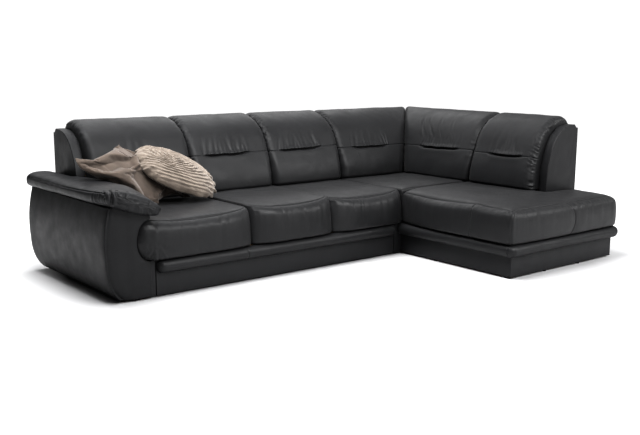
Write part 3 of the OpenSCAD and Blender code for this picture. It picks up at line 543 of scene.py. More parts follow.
def seat_form(x, y, z, quads, bottom, edge):
    """A seat's form, with a recess for the frame in its underside."""
    form = Form(xyz(x, y, np.where(bottom & (edge > RIM + 0.1), RECESS, z)), quads)
    form.soften(4, ~bottom)
    return form


def bench_seat(side, x0, x1, seed, left=4.0, front=True, up=0.0, end=0.0, gathers=()):
    """end cuts the left end of the front in, top and bottom, so that it is round like a bolster.
    gathers are (place, half its width, strength), with place as a share of the seat's width."""
    w = x1 - x0
    xs = sorted_places(axis(0, w, 7.0 if front else 9.0, 2.2, 20.0), rim_places(0, w))
    ys = sorted_places(axis(0, SEAT_REAR, 9.0, 2.2, 20.0), rim_places(0, SEAT_REAR), [8, 14])
    i, j, quads, u, v, z, top, bottom = seat_lattice(xs, ys)
    inset = table(z, SIDE_INSET)
    s, along = u / w, v / SEAT_REAR
    share = swell_share(s, left)
    draw = table(z, SEAM_DRAW) * (1 - share) * ((s >= 0.5) | (end == 0))
    swell = front * (table(z, FRONT_SWELL) * share - draw)
    cut_in = end * (1 - arch((z - BOLSTER) / 97)) * smooth((15 - v) / 7) * (1 - s) ** 3
    x = x0 + u + inset * (1 - 2 * s) + cut_in
    y = v + inset * (1 - 2 * along) - swell * (1 - along) ** 2
    y = y + 17 * front * (fade(u, 7.5) * (end == 0) + fade(w - u, 7.5)) * (1 - along) ** 6
    seam_up = up + climb(s) if front else np.maximum(climb(s), climb(along))
    z = lifted(z, seam_up)
    dx, dy = to_end(u, 0, w), to_end(v, 0, SEAT_REAR)
    base = SEAM + seam_up
    slope = shoulder(v, 0.3 if front else 1.0)
    over = base + (CROWN + 0.4 * up - base) * slope * crease(dx, 7) * crease(SEAT_REAR - v, 16)
    full = smooth((dx - 6) / 70) * smooth((565 - v) / 90) * (smooth((v - 40) / 160) if front else 1)
    z = np.where(top, over + 5 * full, z)
    form = seat_form(x, y, z, quads, bottom, np.minimum(dx, dy))
    # Soft hollows in the top
    n = form.normals()
    soft = 1.7 * noise(seed, x / 130, y / 150) + 0.7 * noise(seed + 1, x / 45, y / 60)
    form.push((n[:, 2] > 0.3) * smooth(dx / 45) * smooth(dy / 45) * soft, UP)
    if front:
        # Fine gathers under the front seam, some stronger, and a few at the bottom
        below = base - z
        face = (n[:, 1] < -0.15) & (v < 60) & ~top
        amount = 4.2 * fade(below, 46) * noise(seed + 7, x / 15, z / 260)
        amount += 3.4 * fade(below, 90) * noise(seed + 8, x / 34, z / 300)
        for place, half, strength in gathers:
            fine = noise(seed + 9, x / 12, z / 200) + 0.5 * noise(seed + 10, x / 20, z / 120)
            amount += 2.4 * strength * bell((s - place) / half) * fade(below, 75) * fine
        amount += 1.8 * fade(z - SEAT_LOW, 30) * noise(seed + 11, x / 21, z / 300)
        if end:
            # The rounded end is gathered into its corners, most of all at the bottom
            ring = np.arctan2(z - BOLSTER, x - x0 - 95) * 15
            low = bell((x - x0 - 80) / 95) * bell((z - 225) / 66)
            high = bell((x - x0 - 60) / 60) * bell((z - 400) / 40)
            amount += 8.5 * low * noise(seed + 14, ring, z / 150)
            amount += 1.4 * high * noise(seed + 15, ring, z / 150)
        # Radial puckers where the leather is drawn into the left junction
        pinch = bell(u / 46) * fade(below, 80) * noise(seed + 12, z / 13, x / 60)
        form.push(face * (amount * smooth(dx / 14) + 6.0 * pinch), FORWARD)
        # Gathers over the front seam
        form.push(top * 1.9 * fade(v, 30) * noise(seed + 13, x / 17, y / 90) * smooth(dx / 18), UP)
        sew(form, top & (j == 0), i)
    piece(f"seat_{side}", form, LEATHER, [f"seat_cushion_{side}"])


LEFT_GATHERS = ((0.08, 0.05, 1.0),)
MIDDLE_GATHERS = ((0.36, 0.11, 2.6), (0.62, 0.06, 1.5), (0.85, 0.06, 1.0))
RIGHT_GATHERS = ((0.34, 0.10, 2.4), (0.15, 0.05, 1.4))
bench_seat("left", -SEAT_RUN + 5, -2 * PLACE, 11, left=14.0, end=80.0, gathers=LEFT_GATHERS)
bench_seat("middle", -2 * PLACE, -PLACE, 23, up=12.0, gathers=MIDDLE_GATHERS)
bench_seat("right", -PLACE, 0, 37, gathers=RIGHT_GATHERS)
bench_seat("corner", 0, SEAT_REAR, 41, front=False)

CORNER_SWELL = ((208.5, 30), (224, 36), (260, 39), (310, 42), (360, 38), (385, 30), (400, 20))
NOTCH = -(BACK_REACH + 3.0)


def round_corner(x, y, cx, cy, sx, sy, radius):
    """Turns the square corner at (cx, cy) into a round one. sx and sy point into the form."""
    t, s = 1 - (x - cx) * sx / radius, 1 - (y - cy) * sy / radius
    inside = (t > 0) & (s > 0)
    tc, sc = np.clip(t, 0, 1.4), np.clip(s, 0, 1.4)
    tn, sn = tc * arch(sc / math.sqrt(2)), sc * arch(tc / math.sqrt(2))
    x = np.where(inside, cx + sx * radius * (1 - tn), x)
    y = np.where(inside, cy + sy * radius * (1 - sn), y)
    return x, y


def ottoman_seat():
    """The chaise's seat, an L in plan: its narrow part ends at the backrest's padded end."""
    across = axis(0, BASE_DEPTH, 7.5, 2.6, 20.0, (0, 560, SEAT_REAR, BASE_DEPTH))
    deep = axis(-OTTOMAN, 0, 7.5, 2.6, 20.0, (-OTTOMAN, NOTCH, 0))
    xs = sorted_places(across, rim_places(0, BASE_DEPTH), [SEAT_REAR])
    ys = sorted_places(deep, rim_places(-OTTOMAN, 0), [NOTCH])
    cell_x, cell_y = (xs[1:] + xs[:-1]) / 2, (ys[1:] + ys[:-1]) / 2
    plan = (cell_x[:, None] <= SEAT_REAR) | (cell_y <= NOTCH)
    i, j, quads, u, v, z, top, bottom = seat_lattice(xs, ys, plan)
    nominal, ahead, s, back = z, v + OTTOMAN, u / BASE_DEPTH, -v / OTTOMAN
    inset = table(z, SIDE_INSET)
    x = u + inset * np.maximum(1 - 2 * u / SEAT_REAR, -1)
    y = v + inset * np.maximum(1 - 2 * ahead / (NOTCH + OTTOMAN), -1)
    # The sides swell, less at the top seam, but the near corner keeps its fullness up to the seam
    swell, corner = table(z, FRONT_SWELL), table(z, CORNER_SWELL)
    side = swell * (1 - (1 - back) ** 6) * crease(ahead, 55) + corner * fade(ahead, 55)
    right = swell / 46 * 38
    x = x - side * (1 - s) ** 4 + right * s**4 * (v < NOTCH + 1)
    front = swell * (0.72 + 0.7 * s * (1 - s)) * crease(u, 55) + corner * 0.62 * fade(u, 55)
    y = y - front * back**4
    x, y = round_corner(x, y, inset - corner, inset - OTTOMAN - corner * 0.62, 1, 1, 17.0)
    x, y = round_corner(x, y, BASE_DEPTH - inset + right, inset - OTTOMAN - swell * 0.72, -1, 1, 60.0)
    # The seam dips along each stretch and is high at the corners and at the cross seam
    lift = -9 * bell((v + 290) / 170) + 8 * bell((v + 628) / 60)
    lift = np.where(v > -60, np.maximum(lift, 22 * smooth(u / 220)), lift)
    z = lifted(z, lift * (u < SEAT_REAR) + 3)
    base = SEAM + 3 + lift
    beyond = np.hypot((SEAT_REAR - u).clip(0), (NOTCH - v).clip(0))
    crown = shoulder(u, 0.35) * crease(BASE_DEPTH - u, 60) * shoulder(ahead, 0.35)
    crown = crown * crease(-v, 8) * crease(beyond, 20)
    full = smooth((u - 60) / 160) * smooth((-v - 10) / 90) * smooth((ahead - 60) / 160)
    full = full * smooth((555 - u) / 80 + 2.0 * (v < NOTCH - 40))
    z = np.where(top, base + (CROWN - base) * crown + 5 * full, z)
    edge = np.minimum(np.minimum(to_end(u, 0, BASE_DEPTH), to_end(v, -OTTOMAN, 0)), beyond)
    form = seat_form(x, y, z, quads, bottom, edge)
    n = form.normals()
    soft = 2.0 * noise(61, x / 160, y / 150) + 0.7 * noise(62, x / 50, y / 60)
    form.push((n[:, 2] > 0.3) * smooth(edge / 45) * soft, UP)
    # Gathers under the top seam, stronger by the corner and the cross seam
    walls = ~top & ~bottom
    along = np.where(np.abs(n[:, 0]) > np.abs(n[:, 1]), y, x)
    below = base - z
    gather = 1.2 * fade(below, 34) * noise(71, along / 14, z / 260)
    gather += 1.3 * fade(below, 90) * noise(72, along / 36, z / 300)
    gather += 2.2 * bell(u / 90) * bell(ahead / 90) * fade(below, 40) * noise(73, along / 9, z / 180)
    gather += 1.8 * bell((u - 90) / 60) * (ahead < 10) * fade(below, 45) * noise(74, along / 9, z / 200)
    free = (v < -45) & ~((u > SEAT_REAR - 2) & (v > NOTCH - 30) & (n[:, 1] > 0.3))
    form.push((walls & free & (n[:, 2] < 0.9)) * 1.8 * gather)
    # Seams: round the free edges of the top, then down the walls
    for mask, order in ((i == 0, j), (j == 0, i), (i == i.max(), j)):
        sew(form, mask & top, order)
    cross = -628 + 10 * ((nominal - 330) / 120) ** 2
    hem = 558 - 44 * ((nominal - BOLSTER) / 95) ** 2
    for wall, away in ((i == 0, y - cross), (j == 0, x - hem)):
        form.push((wall & walls) * (-2.6 * bell(away / 38) - 4.2 * bell(away / 3.4)))
    # The tight pinch at the near corner
    spot = np.hypot(form.p[:, 0] + 38, form.p[:, 1] + 935)
    form.push((walls & (u < 26) & (ahead < 26)) * -3.2 * bell(spot / 5.5))
    piece("seat_ottoman", form, LEATHER, ["seat_cushion_ottoman"])


ottoman_seat()

# Backrest

CUSHION_HIGH, CUSHION_LOW, CUSHION_SIDE = 66.0, 122.0, 58.0
BACK_RISE = BACK_TOP - BACK_KNEE
# Up to the knee a step is a height below it in mm, and above the knee it is an angle in degrees
ROUND = ((-19, 0.86), (-10, 0.97), (0, 1), (79, 1), (83, 0.97), (85, 0.93), (87, 0.8), (89, 0.2))


def back_edge(step, out):
    """Depth from the rear and height of the back's front edge, at a step and a distance out from it."""
    a = np.radians(np.clip(step, 0, 89.5))
    c, s = np.cos(a), np.sin(a)
    t = BACK_RISE * c
    z = 0.63 * BACK_BASE * c ** (-0.37) * s
    k = out / np.hypot(t, z)
    low = step <= 0
    depth = np.where(low, BACK_BASE + out, BACK_BASE * c**0.63 + t * k)
    height = np.where(low, BACK_KNEE + step, BACK_KNEE + BACK_RISE * s + z * k)
    return depth, height


def cushion_thickness(step):
    a = np.maximum(step, 0)
    return CUSHION_HIGH + (CUSHION_LOW - CUSHION_HIGH) * bell(a / 30) + 12 * bell((a - 50) / 15)


STEPS = np.concatenate([np.linspace(-19, 0, 30), np.linspace(0.2, 80, 400), np.linspace(80.1, 89, 120)])
FRONT_DEPTH, FRONT_HEIGHT = back_edge(STEPS, 3 + table(STEPS, ROUND) * cushion_thickness(STEPS))
ARC = arc_length(FRONT_DEPTH, FRONT_HEIGHT)


def arc_of_height(z):
    """How far up the front of a back cushion a height is."""
    i = FRONT_HEIGHT.argmax()
    return np.interp(z, FRONT_HEIGHT[:i], ARC[:i])


def fan_of_folds(x, above, t0, t1, fan, seed):
    """Soft folds that run up from the channel and lean together, and short ones under its ends."""
    rng = np.random.default_rng(seed)
    relief = np.zeros(len(x))
    rising = above.clip(0)
    place = t0 - 6 + rng.uniform(0, 12)
    while place < t1 + 4:
        tall, wide = rng.uniform(44, 112), rng.uniform(5.5, 10.0)
        lean = rng.uniform(-0.12, 0.12) - 0.42 * (place - (t0 + t1) / 2) / (t1 - t0)
        strength = 1.3 * fan * rng.uniform(0.3, 1.0)
        away = x - place - lean * rising - 3 * np.sin(above / 23 + place)
        ends = np.exp(-((rising / tall) ** 1.5)) * smooth((above + 2) / 10)
        relief += strength * fold(away, wide * (1 + rising / 90), 0.7, 1.7) * ends
        place += rng.uniform(17, 40)
    for place, lean in ((t0 + 4, -0.5), (t0 + 22, -0.2), (t1 - 5, 0.5), (t1 - 24, 0.25), (t1 - 44, 0.1)):
        tall, wide = rng.uniform(18, 42), rng.uniform(4.5, 7)
        strength = rng.uniform(0.9, 2.2)
        away = x - place - lean * above
        relief += strength * fold(away, wide, 1.0, 1.0) * fade(-above, tall) * (above < 0)
    return relief


def back_cushion(number, low, high, tuck, crumple, fan=3.4, mitred=False, right=False, folds=()):
    """tuck is (start, end, start's height, end's height, depth) of the sewn channel, along the run and up.
    folds are (from, to, height from, height to, depth, width), crumple how strongly each side puckers."""
    seed = 100 + number
    a = low + GAP
    length = high - GAP - a
    t0, t1, z0, z1, deep = tuck
    q0, q1 = arc_of_height(z0), arc_of_height(z1)
    qm = (q0 + q1) / 2
    ps = axis(0, length, 6.0, 2.4, 34.0)
    qs = axis(0, ARC[-1], 7.0, 2.4, 34.0, (qm - 4, qm + 6, qm + 20, 0, ARC[-1]))
    _, quads, p, q, w = block(ps, qs, np.linspace(0, 1, 7))
    step = np.interp(q, ARC, STEPS)
    thin = CUSHION_SIDE - 24 * smooth((step - 40) / 35)
    x, d = a + p, to_end(p, 0, length)
    for _ in range(2 if mitred else 1):
        side = arch(1 - np.clip(d / 48, 0, 1))
        full = table(step, ROUND) * (thin + (cushion_thickness(step) - thin) * side)
        depth, height = back_edge(step, 3 + full * w)
        if mitred:
            # Past the first part the run is stretched so that it ends on the mitre
            kept, end = 0.4 * length, BACK_REAR - depth - GAP
            x = a + np.where(p < kept, p, kept + (end - a - kept) * (p - kept) / (length - kept))
            d = np.minimum(p, np.where(p < kept, length, end - x))
    form = Form(xyz(x, BACK_REAR - depth, height), quads)
    form.soften(3)
    front = w > 0.99
    # The sewn channel: a slot under a lip over the middle of the width, and a thin seam on to the sides
    share = (x - t0) / (t1 - t0)
    wave = 2.5 * noise(seed + 20, x / 60, 0.5) * (share > 0) * (share < 1)
    bow = wave - 2.5 * np.sin(math.pi * np.clip(share, 0, 1))
    channel = q0 + (q1 - q0) * np.clip(share, -0.35, 1.35) + bow
    inside = smooth((x - t0) / 95 + 0.16) * smooth((t1 - x) / 95 + 0.16)
    above = q - channel
    n = form.normals()
    slot = 1.3 * deep * inside * bell(above / np.where(above > 0, 6.0, 9.0))
    seam = 3.4 * (1 - inside) * bell(above / 3.6)
    form.push(front * (2.0 * inside * bell((above + 26) / 22) - slot - seam), n)
    up = xyz(0, n[:, 2], -n[:, 1])
    form.push(front * inside * bell((above - 13) / 10), 5.0 * n - 8.0 * up)
    relief = fan_of_folds(x, above, t0, t1, fan, seed)
    flat = xyz(x, 0, height)
    for p0, p1, za, zb, amount, wide in folds:
        away, along = near_line(flat, ((p0, 0, za), (p1, 0, zb)))
        ends = smooth(along / 55) * smooth((math.dist((p0, za), (p1, zb)) - along) / 70)
        relief += amount * fold(away, wide, 0.6, 1.4) * ends
    form.push(front * relief * smooth(d / 25), n)
    # Puckers along the side seams, strongest where the cushion bends over its top
    bend = np.maximum(bell((step - 66) / 24), 0.6 if right and not mitred else 0)
    for side, strength in ((p, crumple[0]), (length - p, crumple[1])):
        zig = noise(seed + 30, (q - 0.4 * side) / 8.5, side / 30)
        zig += 0.6 * noise(seed + 31, (q + 0.5 * side) / 17, side / 60)
        form.push(front * 1.4 * strength * bend * zig * fade(side, 20) * smooth(side / 3), n)
    pucker = noise(seed + 3, q / 19, 0.5) * fade(d, 24) + 0.6 * noise(seed + 4, q / 41, d / 70) * fade(d, 55)
    soft = 1.5 * noise(seed + 5, x / 120, q / 130) + 0.6 * noise(seed + 6, x / 45, q / 50)
    form.push(front * (1.8 * pucker * smooth(d / 8 + 0.15) + soft * smooth(d / 40)), n)
    if right:
        form.mirror()
    piece(f"back_{number}", form, LEATHER, [f"back_cushion_{number}"])


CORNER_FOLDS = (
    (560, 440, 850, 690, 3.6, 12),
    (500, 350, 850, 690, 3.0, 11),
    (380, 270, 850, 680, 3.0, 11),
    (250, 175, 840, 680, 2.4, 9),
)
back_cushion(1, -SEAT_RUN + 60, -2 * PLACE, (-1690, -1390, 662, 664, 14), (2.0, 2.0))
back_cushion(2, -2 * PLACE, -PLACE, (-1107, -755, 663, 664, 17), (5.0, 2.0))
back_cushion(3, -PLACE, 0, (-523, -158, 660, 667, 17), (5.0, 2.0), 4.0)
back_cushion(4, 0, BACK_REAR, (119, 471, 646, 643, 15), (4.0, 0.0), 2.6, True)
back_cushion(5, -BACK_JOINT, BACK_REAR, (87, 475, 646, 641, 16), (2.5, 0.0), 2.4, True, True, CORNER_FOLDS)
back_cushion(6, -BACK_REACH + 60, -BACK_JOINT, (-468, -175, 641, 640, 17), (6.0, 3.0), 3.6, False, True)

END_WIDE, END_SWELL = 60.0, 12.0


def back_end(side, place, seed, right=False):
    """Padded end of a backrest: a slab with soft edges."""
    us = axis(0, END_WIDE, 6.0, 2.5, 12.0)
    steps = np.linspace(SEAT_LOW - BACK_KNEE, 89, 300)
    arc = arc_length(*back_edge(steps, END_SWELL))
    qs = axis(0, arc[-1], 7.0, 2.6, 18.0)
    _, quads, u, q, w = block(us, qs, axis(0, 1, 0.03, 0.009, 0.05))
    depth, height = back_edge(np.interp(q, arc, steps), END_SWELL)
    share = q / arc[-1]
    rear_depth, rear_height = 8 * smooth((share - 0.96) / 0.04), SEAT_LOW + (BACK_TOP - 6 - SEAT_LOW) * share
    x = place + u
    y = BACK_REAR - (rear_depth + (depth - rear_depth) * w)
    z = rear_height + (height - rear_height) * w
    y, z = round_corner(y, z, BACK_REAR, z.max(), -1, -1, 38.0)
    form = Form(xyz(x, y, z), quads)
    form.soften(9)
    soft = 1.6 * noise(seed, y / 90, z / 110, x / 60) + 1.0 * noise(seed + 1, y / 35, z / 60, x / 50)
    form.push(soft * (w > 0.2) * smooth(share / 0.1))
    if right:
        form.mirror()
    piece(f"back_end_{side}", form, PADDING, [f"back_end_pad_{side}"])


back_end("left", -SEAT_RUN, 201)
back_end("right", -BACK_REACH, 203, True)

WELT_DEPTH, WELT_HEIGHT, WELT_ROUND = 996.6, 832.4, 9.0


def rear_welt(side, start, end, seed, right=False):
    """A stuffed welt along the top of the backrest's rear, between the lining and the cushions."""
    turn = np.linspace(0, 2 * math.pi, 25)[:-1]
    c, s = np.cos(turn), np.sin(turn)
    rings = []
    for at in axis(start, end, 9.0, 2.0, 12.0):
        size = max(arch(max(0, 1 - to_end(at, start, end) / WELT_ROUND)), 0.2)
        y = WELT_DEPTH + 12.4 * size * signed_power(c, 0.85)
        z = WELT_HEIGHT + 8.6 * size * signed_power(s, 0.85) + 0.5 * noise(seed, at / 40, 2 + c)
        rings.append(xyz(at, y, z))
    form = ring_form(rings)
    if right:
        form.mirror()
    piece(f"rear_welt_{side}", form, PADDING, ())


rear_welt("bench", -SEAT_RUN + END_WIDE + 1, BACK_REAR + 3, 211)
rear_welt("right", -BACK_REACH + END_WIDE + 1, BACK_REAR - 22, 213, True)

# Arm

ARM_FOOT, ARM_BELLY, BELLY, ARM_LEAN, ARM_KNEE, ARM_SKIN = 1980.0, 129.0, 300.0, 30.0, 210.0, 12.0
ARM_LOW, ARM_INNER, ARM_NECK = 12.0, -1845.2, 445.0
PAD_OUTER = ARM_FOOT + ARM_BELLY + 14
PAD_INNER = PAD_OUTER - 273
PAD_HEIGHT = 90.0


def arm_face(z):
    """How far out the arm's outer face is at a height."""
    high = ARM_BELLY - ARM_LEAN * ((z - BELLY) / (ARM_TOP - BELLY)) ** 2
    knee = ARM_BELLY - ARM_LEAN * ((ARM_KNEE - BELLY) / (ARM_TOP - BELLY)) ** 2
    return ARM_FOOT + np.where(z < ARM_KNEE, knee * arch(1 - z / ARM_KNEE), high)


def arm_slope(z):
    """How much further out the arm's face is over a height of 2 mm, and the length of that stretch."""
    slope = arm_face(z + 1) - arm_face(z - 1)
    return slope, np.hypot(slope, 2)


def arm_outer():
    """The arm's bellied outer panel, padded and drawn in at its front edge."""
    heights = np.concatenate([[ARM_LOW], np.linspace(14, ARM_TOP, 400)])
    arc = arc_length(arm_face(heights), heights)
    ys = axis(0, BACK_REAR, 10.0, 2.4, 20.0)
    _, quads, y, q, w = block(ys, axis(0, arc[-1], 9.0, 2.6, 14.0), np.linspace(0, 1, 6))
    z = np.interp(q, arc, heights)
    slope, stretch = arm_slope(z)
    inward = (1 - w) * ARM_SKIN / stretch
    form = Form(xyz(inward * 2 - arm_face(z), y, z + inward * slope), quads[:, ::-1])
    form.soften(5, (w > 0.5) & (z < 500))
    soft = smooth(to_end(y, 0, BACK_REAR) / 30) * 0.7 * noise(301, y / 260, z / 200)
    form.push((w > 0.99) * (soft - 5.5 * fade(y, 13)))
    # The outer panel takes the darker panel leather, which paints shade on it
    piece("arm_outer", form, PANELS_IN_PAINTED_SHADE, ["arm_outer_panel"])


def arm_front():
    """The arm's padded front. Its inner edge lets the round end of the left seat through."""
    zs = axis(ARM_LOW, ARM_TOP, 8.0, 2.6, 20.0, (ARM_LOW, 208, 400, ARM_TOP))
    _, quads, s, z, w = block(axis(0, 1, 0.03, 0.008, 0.06), zs, np.linspace(0, 1, 5))
    outer = -arm_face(z) + (ARM_SKIN + 0.5) * arm_slope(z)[1] / 2
    # Heights on the seat's end are nominal ones with its climb added
    nominal = np.linspace(200, 410, 400)
    level = np.interp(z, lifted(nominal, CLIMB), nominal)
    seat_side, neck = 80 * arch((level - BOLSTER) / 99), 40 * smooth((z - ARM_NECK) / 50)
    inner = ARM_INNER - np.where(z > ARM_NECK, neck, seat_side)
    outer = np.minimum(outer, inner - 20)
    x = outer + (inner - outer) * s
    deep = np.where((x > -1945.5) & (z > 196), 5.5, 15.0)
    y = deep * (1 - w) - 4.0 * w * smooth((x + 1990) / 50)
    form = Form(xyz(x, y, z), quads)
    form.soften(2)
    edge, rim = x - outer, inner - x
    full = 5.0 * smooth(edge / 60) * (0.35 + 0.65 * smooth(rim / 55)) - 5.0 * bell(edge / 13)
    full += 1.0 * noise(311, x / 70, z / 120) * smooth(edge / 25)
    # Small pinches under the pad
    full += 1.8 * bell((z - ARM_TOP) / 60) * bell(edge / 60) * noise(312, x / 7, z / 80)
    form.push((w > 0.99) * full, FORWARD)
    piece("arm_front", form, PANELS_IN_PAINTED_SHADE, ["arm_front_panel"])


# Places on the pad in the photo, (across, down) in an enlargement of it whose corner is at ZOOM_CORNER
ZOOM, ZOOM_CORNER = 11.08, (60, 150)
PAD_EDGE_SEAM = ((0, 400), (200, 440), (330, 460), (450, 475), (560, 500), (650, 520), (720, 545))
PAD_FRONT_SEAM = ((850, 570), (950, 590), (1010, 610), (1060, 635), (1090, 655))
PAD_SECOND_ROW = ((720, 570), (850, 595), (950, 615), (1010, 638), (1060, 662), (1085, 685))
PAD_TUCKS = (
    (5, (480, 450), (482, 480), (485, 510), (490, 540)),
    (9, (550, 440), (555, 470), (560, 510), (570, 560), (575, 590)),
    (9, (630, 445), (632, 480), (636, 530), (640, 560), (650, 600)),
    (9, (745, 460), (742, 500), (735, 540), (730, 580), (735, 620)),
    (8, (1000, 580), (998, 610), (1000, 640), (1005, 670), (1010, 700)),
)


def photo_line(tree, places):
    """Where the camera's rays through places in the enlargement meet a form."""
    middle = np.array([PHOTO_WIDE, PHOTO_HIGH]) / 2
    line = []
    for place in places:
        across, down = np.array(ZOOM_CORNER) + np.array(place) / ZOOM - middle
        way = CAMERA_TURN @ Vector((across, -down, -LENS / SENSOR * PHOTO_WIDE))
        line.append(np.array(tree.ray_cast(Vector(CAMERA_PLACE), way)[0]))
    return line


def arm_pad():
    """The arm's thick pad. Its front end turns inwards, droops over the arm and ends in a folded tip."""
    rear, front = BACK_REAR - 2, -68.0
    turn = np.linspace(0, 2 * math.pi, 193)[:-1]
    c, s = np.cos(turn), np.sin(turn)
    rings = []
    for y in axis(front, rear, 6.0, 1.8, 60.0, (front, 0, rear)):
        droop = smooth((205 - y) / 250)
        narrow = np.interp(y, [480, 600, 690], [0, 0.33, 1])
        inner = PAD_INNER + (SEAT_RUN + 6 - PAD_INNER) * narrow - 60 * droop
        outer = PAD_OUTER - 14 * droop
        nose, tail = arch(max(front + 46 - y, 0) / 46.5, 2.5), arch(max(y - rear + 34, 0) / 35, 2.2)
        size = max(nose * tail, 0.08)
        # The plan keeps its width further towards the front than the height does
        half, middle = (outer - inner) / 2 * size**0.55, -(outer + inner) / 2
        tilt = math.radians(19 * droop)
        lift = PAD_HEIGHT / 2 * (1 + 0.14 * droop) * size
        height = ARM_TOP + GAP + PAD_HEIGHT / 2 - 30 * droop
        u = half * signed_power(c, 0.74 + 0.1 * droop * (c > 0))
        v = lift * signed_power(s, np.where(s < 0, 0.62, 0.8)) * (1 - 0.12 * droop * smooth(u / half / 0.9))
        x = middle + u * math.cos(tilt) + v * math.sin(tilt)
        z = height - u * math.sin(tilt) + v * math.cos(tilt)
        z = np.where((y > -0.7) & (x < -SEAT_RUN + GAP), np.maximum(z, ARM_TOP + GAP), z)
        rings.append(xyz(x, y, z))
    form = ring_form(rings)
    form.flip()
    above = smooth((form.p[:, 2] - ARM_TOP - 8) / 20)
    form.soften(2, above)
    x, y, z = form.p.T
    relief = 1.6 * noise(321, y / 110, x / 120) + 0.8 * noise(322, y / 40, x / 70, z / 60)
    # The band under the top seam is gathered where the pad turns over the arm's front
    turned = smooth((170 - y) / 120)
    band = bell((z - 540 + 55 * smooth((x + 2040) / 180)) / 42) * turned
    around = np.where(y < -20, x, -2080 - y)
    relief += 5.0 * band * noise(323, around / 13, z / 70) + 2.4 * turned * noise(324, around / 27, z / 90)
    form.push(np.maximum(above, y < -8) * relief)
    # All lines are found before the first is sewn
    tree = BVHTree.FromPolygons(form.p.tolist(), form.faces())
    tucks = [(deep, photo_line(tree, places)) for deep, *places in PAD_TUCKS]
    seam = photo_line(tree, PAD_EDGE_SEAM + PAD_FRONT_SEAM)
    seam.insert(0, seam[0] + (2, 444, 0))
    second_row = photo_line(tree, PAD_SECOND_ROW)
    for deep, line in tucks:
        groove(form, line, deep, 6.0)
    groove(form, seam, 4.6, 3.4)
    groove(form, second_row, 3.6, 3.2)
    piece("arm_pad_soft", form, PADDING, ["arm_pad"])


arm_outer()
arm_front()
arm_pad()

# Rolls


def roll(name, node, parts, seed, rounded=False, body="sofa", seams=()):
    """A padded half-round bead along a path in plan. Each part is ('line', start, end, facing) or
    ('turn', centre, facing from, facing to), with facings in degrees. rounded closes both ends."""
    us, bases, facings = [], [], []
    at = 0.0
    for kind, first, second, third in parts:
        if kind == "line":
            long = math.dist(first, second)
            here = axis(0, long, 8.0, 2.6, 20.0, (0, *seams, long))
            base = np.array(first) + (here / long)[:, None] * np.subtract(second, first)
            facing = np.full(len(here), float(third))
        else:
            long = 60.0
            here = np.linspace(0, long, 17)
            base = np.full((len(here), 2), first, float)
            facing = np.linspace(second, third, len(here))
        skip = min(len(us), 1)
        us.append(at + here[skip:])
        bases.append(base[skip:])
        facings.append(np.radians(facing[skip:]))
        at += long
    us, bases, facings = np.concatenate(us), np.concatenate(bases), np.concatenate(facings)
    (i, _, _), quads, u, v, w = block(us, np.linspace(0, 1, 28), np.linspace(0, 1, 5))
    half, middle = (ROLL_TOP - ROLL_LOW) / 2, (ROLL_TOP + ROLL_LOW) / 2
    angle = (v - 0.5) * math.pi
    full = np.cos(angle).clip(0)
    size = np.ones(len(u))
    for d in (u, at - u) if rounded else ():
        size = size * np.maximum(arch(1 - np.clip(d / 36, 0, 1)), math.sqrt(0.02))
    z = middle + half * np.sin(angle) * (0.45 + 0.55 * size)
    out = 1.2 + (ROLL_OUT - 1.2) * full**0.85 * w * size
    ripple = 1.1 * noise(seed, u / 70, z / 60)
    ripple += 0.9 * noise(seed + 1, u / 22, z / 90) * bell((v - 0.9) / 0.3)
    out += (w > 0.99) * ripple * smooth(to_end(u, 0, at) / 30) * full
    for place in seams:
        out -= 4.5 * w * bell((u - place) / 3.4) * full
    x, y = bases[i].T + out * np.stack([np.cos(facings[i]), np.sin(facings[i])])
    form = Form(xyz(x, y, z), quads)
    form.soften(2, w > 0.4)
    piece(name, form, PADDING, [node], body)


FORE = -OTTOMAN
FRONT_PATH = (
    ("turn", (0, FORE), 180, 270),
    ("line", (0, FORE), (BASE_DEPTH, FORE), 270),
    ("turn", (BASE_DEPTH, FORE), 270, 360),
)
INNER_PATH = (("line", (0, -GAP), (0, FORE + GAP), 180),)
RIGHT_PATH = (("line", (BASE_DEPTH, FORE + GAP), (BASE_DEPTH, BASE_DEPTH), 0),)
roll("roll_front_soft", "roll_front", FRONT_PATH, 401)
roll("roll_inner_soft", "roll_inner", INNER_PATH, 411)
roll("roll_right_soft", "roll_right", RIGHT_PATH, 421)
low, high = design_box("bed_front_roll")
BED_PATH = (("line", (low[0], high[1]), (high[0], high[1]), 270),)
BED_SEAM = -1243.0
roll("roll_bed_soft", "bed_front_roll", BED_PATH, 431, True, "bed_drawer", (BED_SEAM - low[0],))

# Scatter cushions

PLAIN = ((-100, 460, 280), (232, 608, 362), (630, 505, 24), (330, 330, 0.6))
EARS = ((-1, -1), (-1, 1), (1, 1), (1, -1))
# Long folds across the plain cushion's face: from and to in U and V, then depth and width
PLAIN_FOLDS = (
    (-0.75, -0.35, 0.1, -0.72, 4, 0.1),
    (-0.5, -0.55, 0.35, -0.8, 4, 0.07),
    (-0.3, 0.75, 0.5, 0.45, 5, 0.09),
    (-0.1, 0.85, 0.6, 0.7, 6, 0.06),
    (-0.85, 0.1, -0.2, 0.2, 4, 0.08),
    (0.0, -0.2, 0.7, -0.5, 4, 0.09),
)
PLEAT_MIDDLE = np.array([-1436.0, 424.0, 600.0])
# The pleated cushion's long way, short way and way out
PLEAT_AXES = np.array([(0.911, -0.13, -0.39), (0.344, 0.762, 0.549), (0.226, -0.634, 0.739)])
PLEAT_LONG, PLEAT_SHORT = 262.0, 158.0
CLOTH_FRAMES = 20


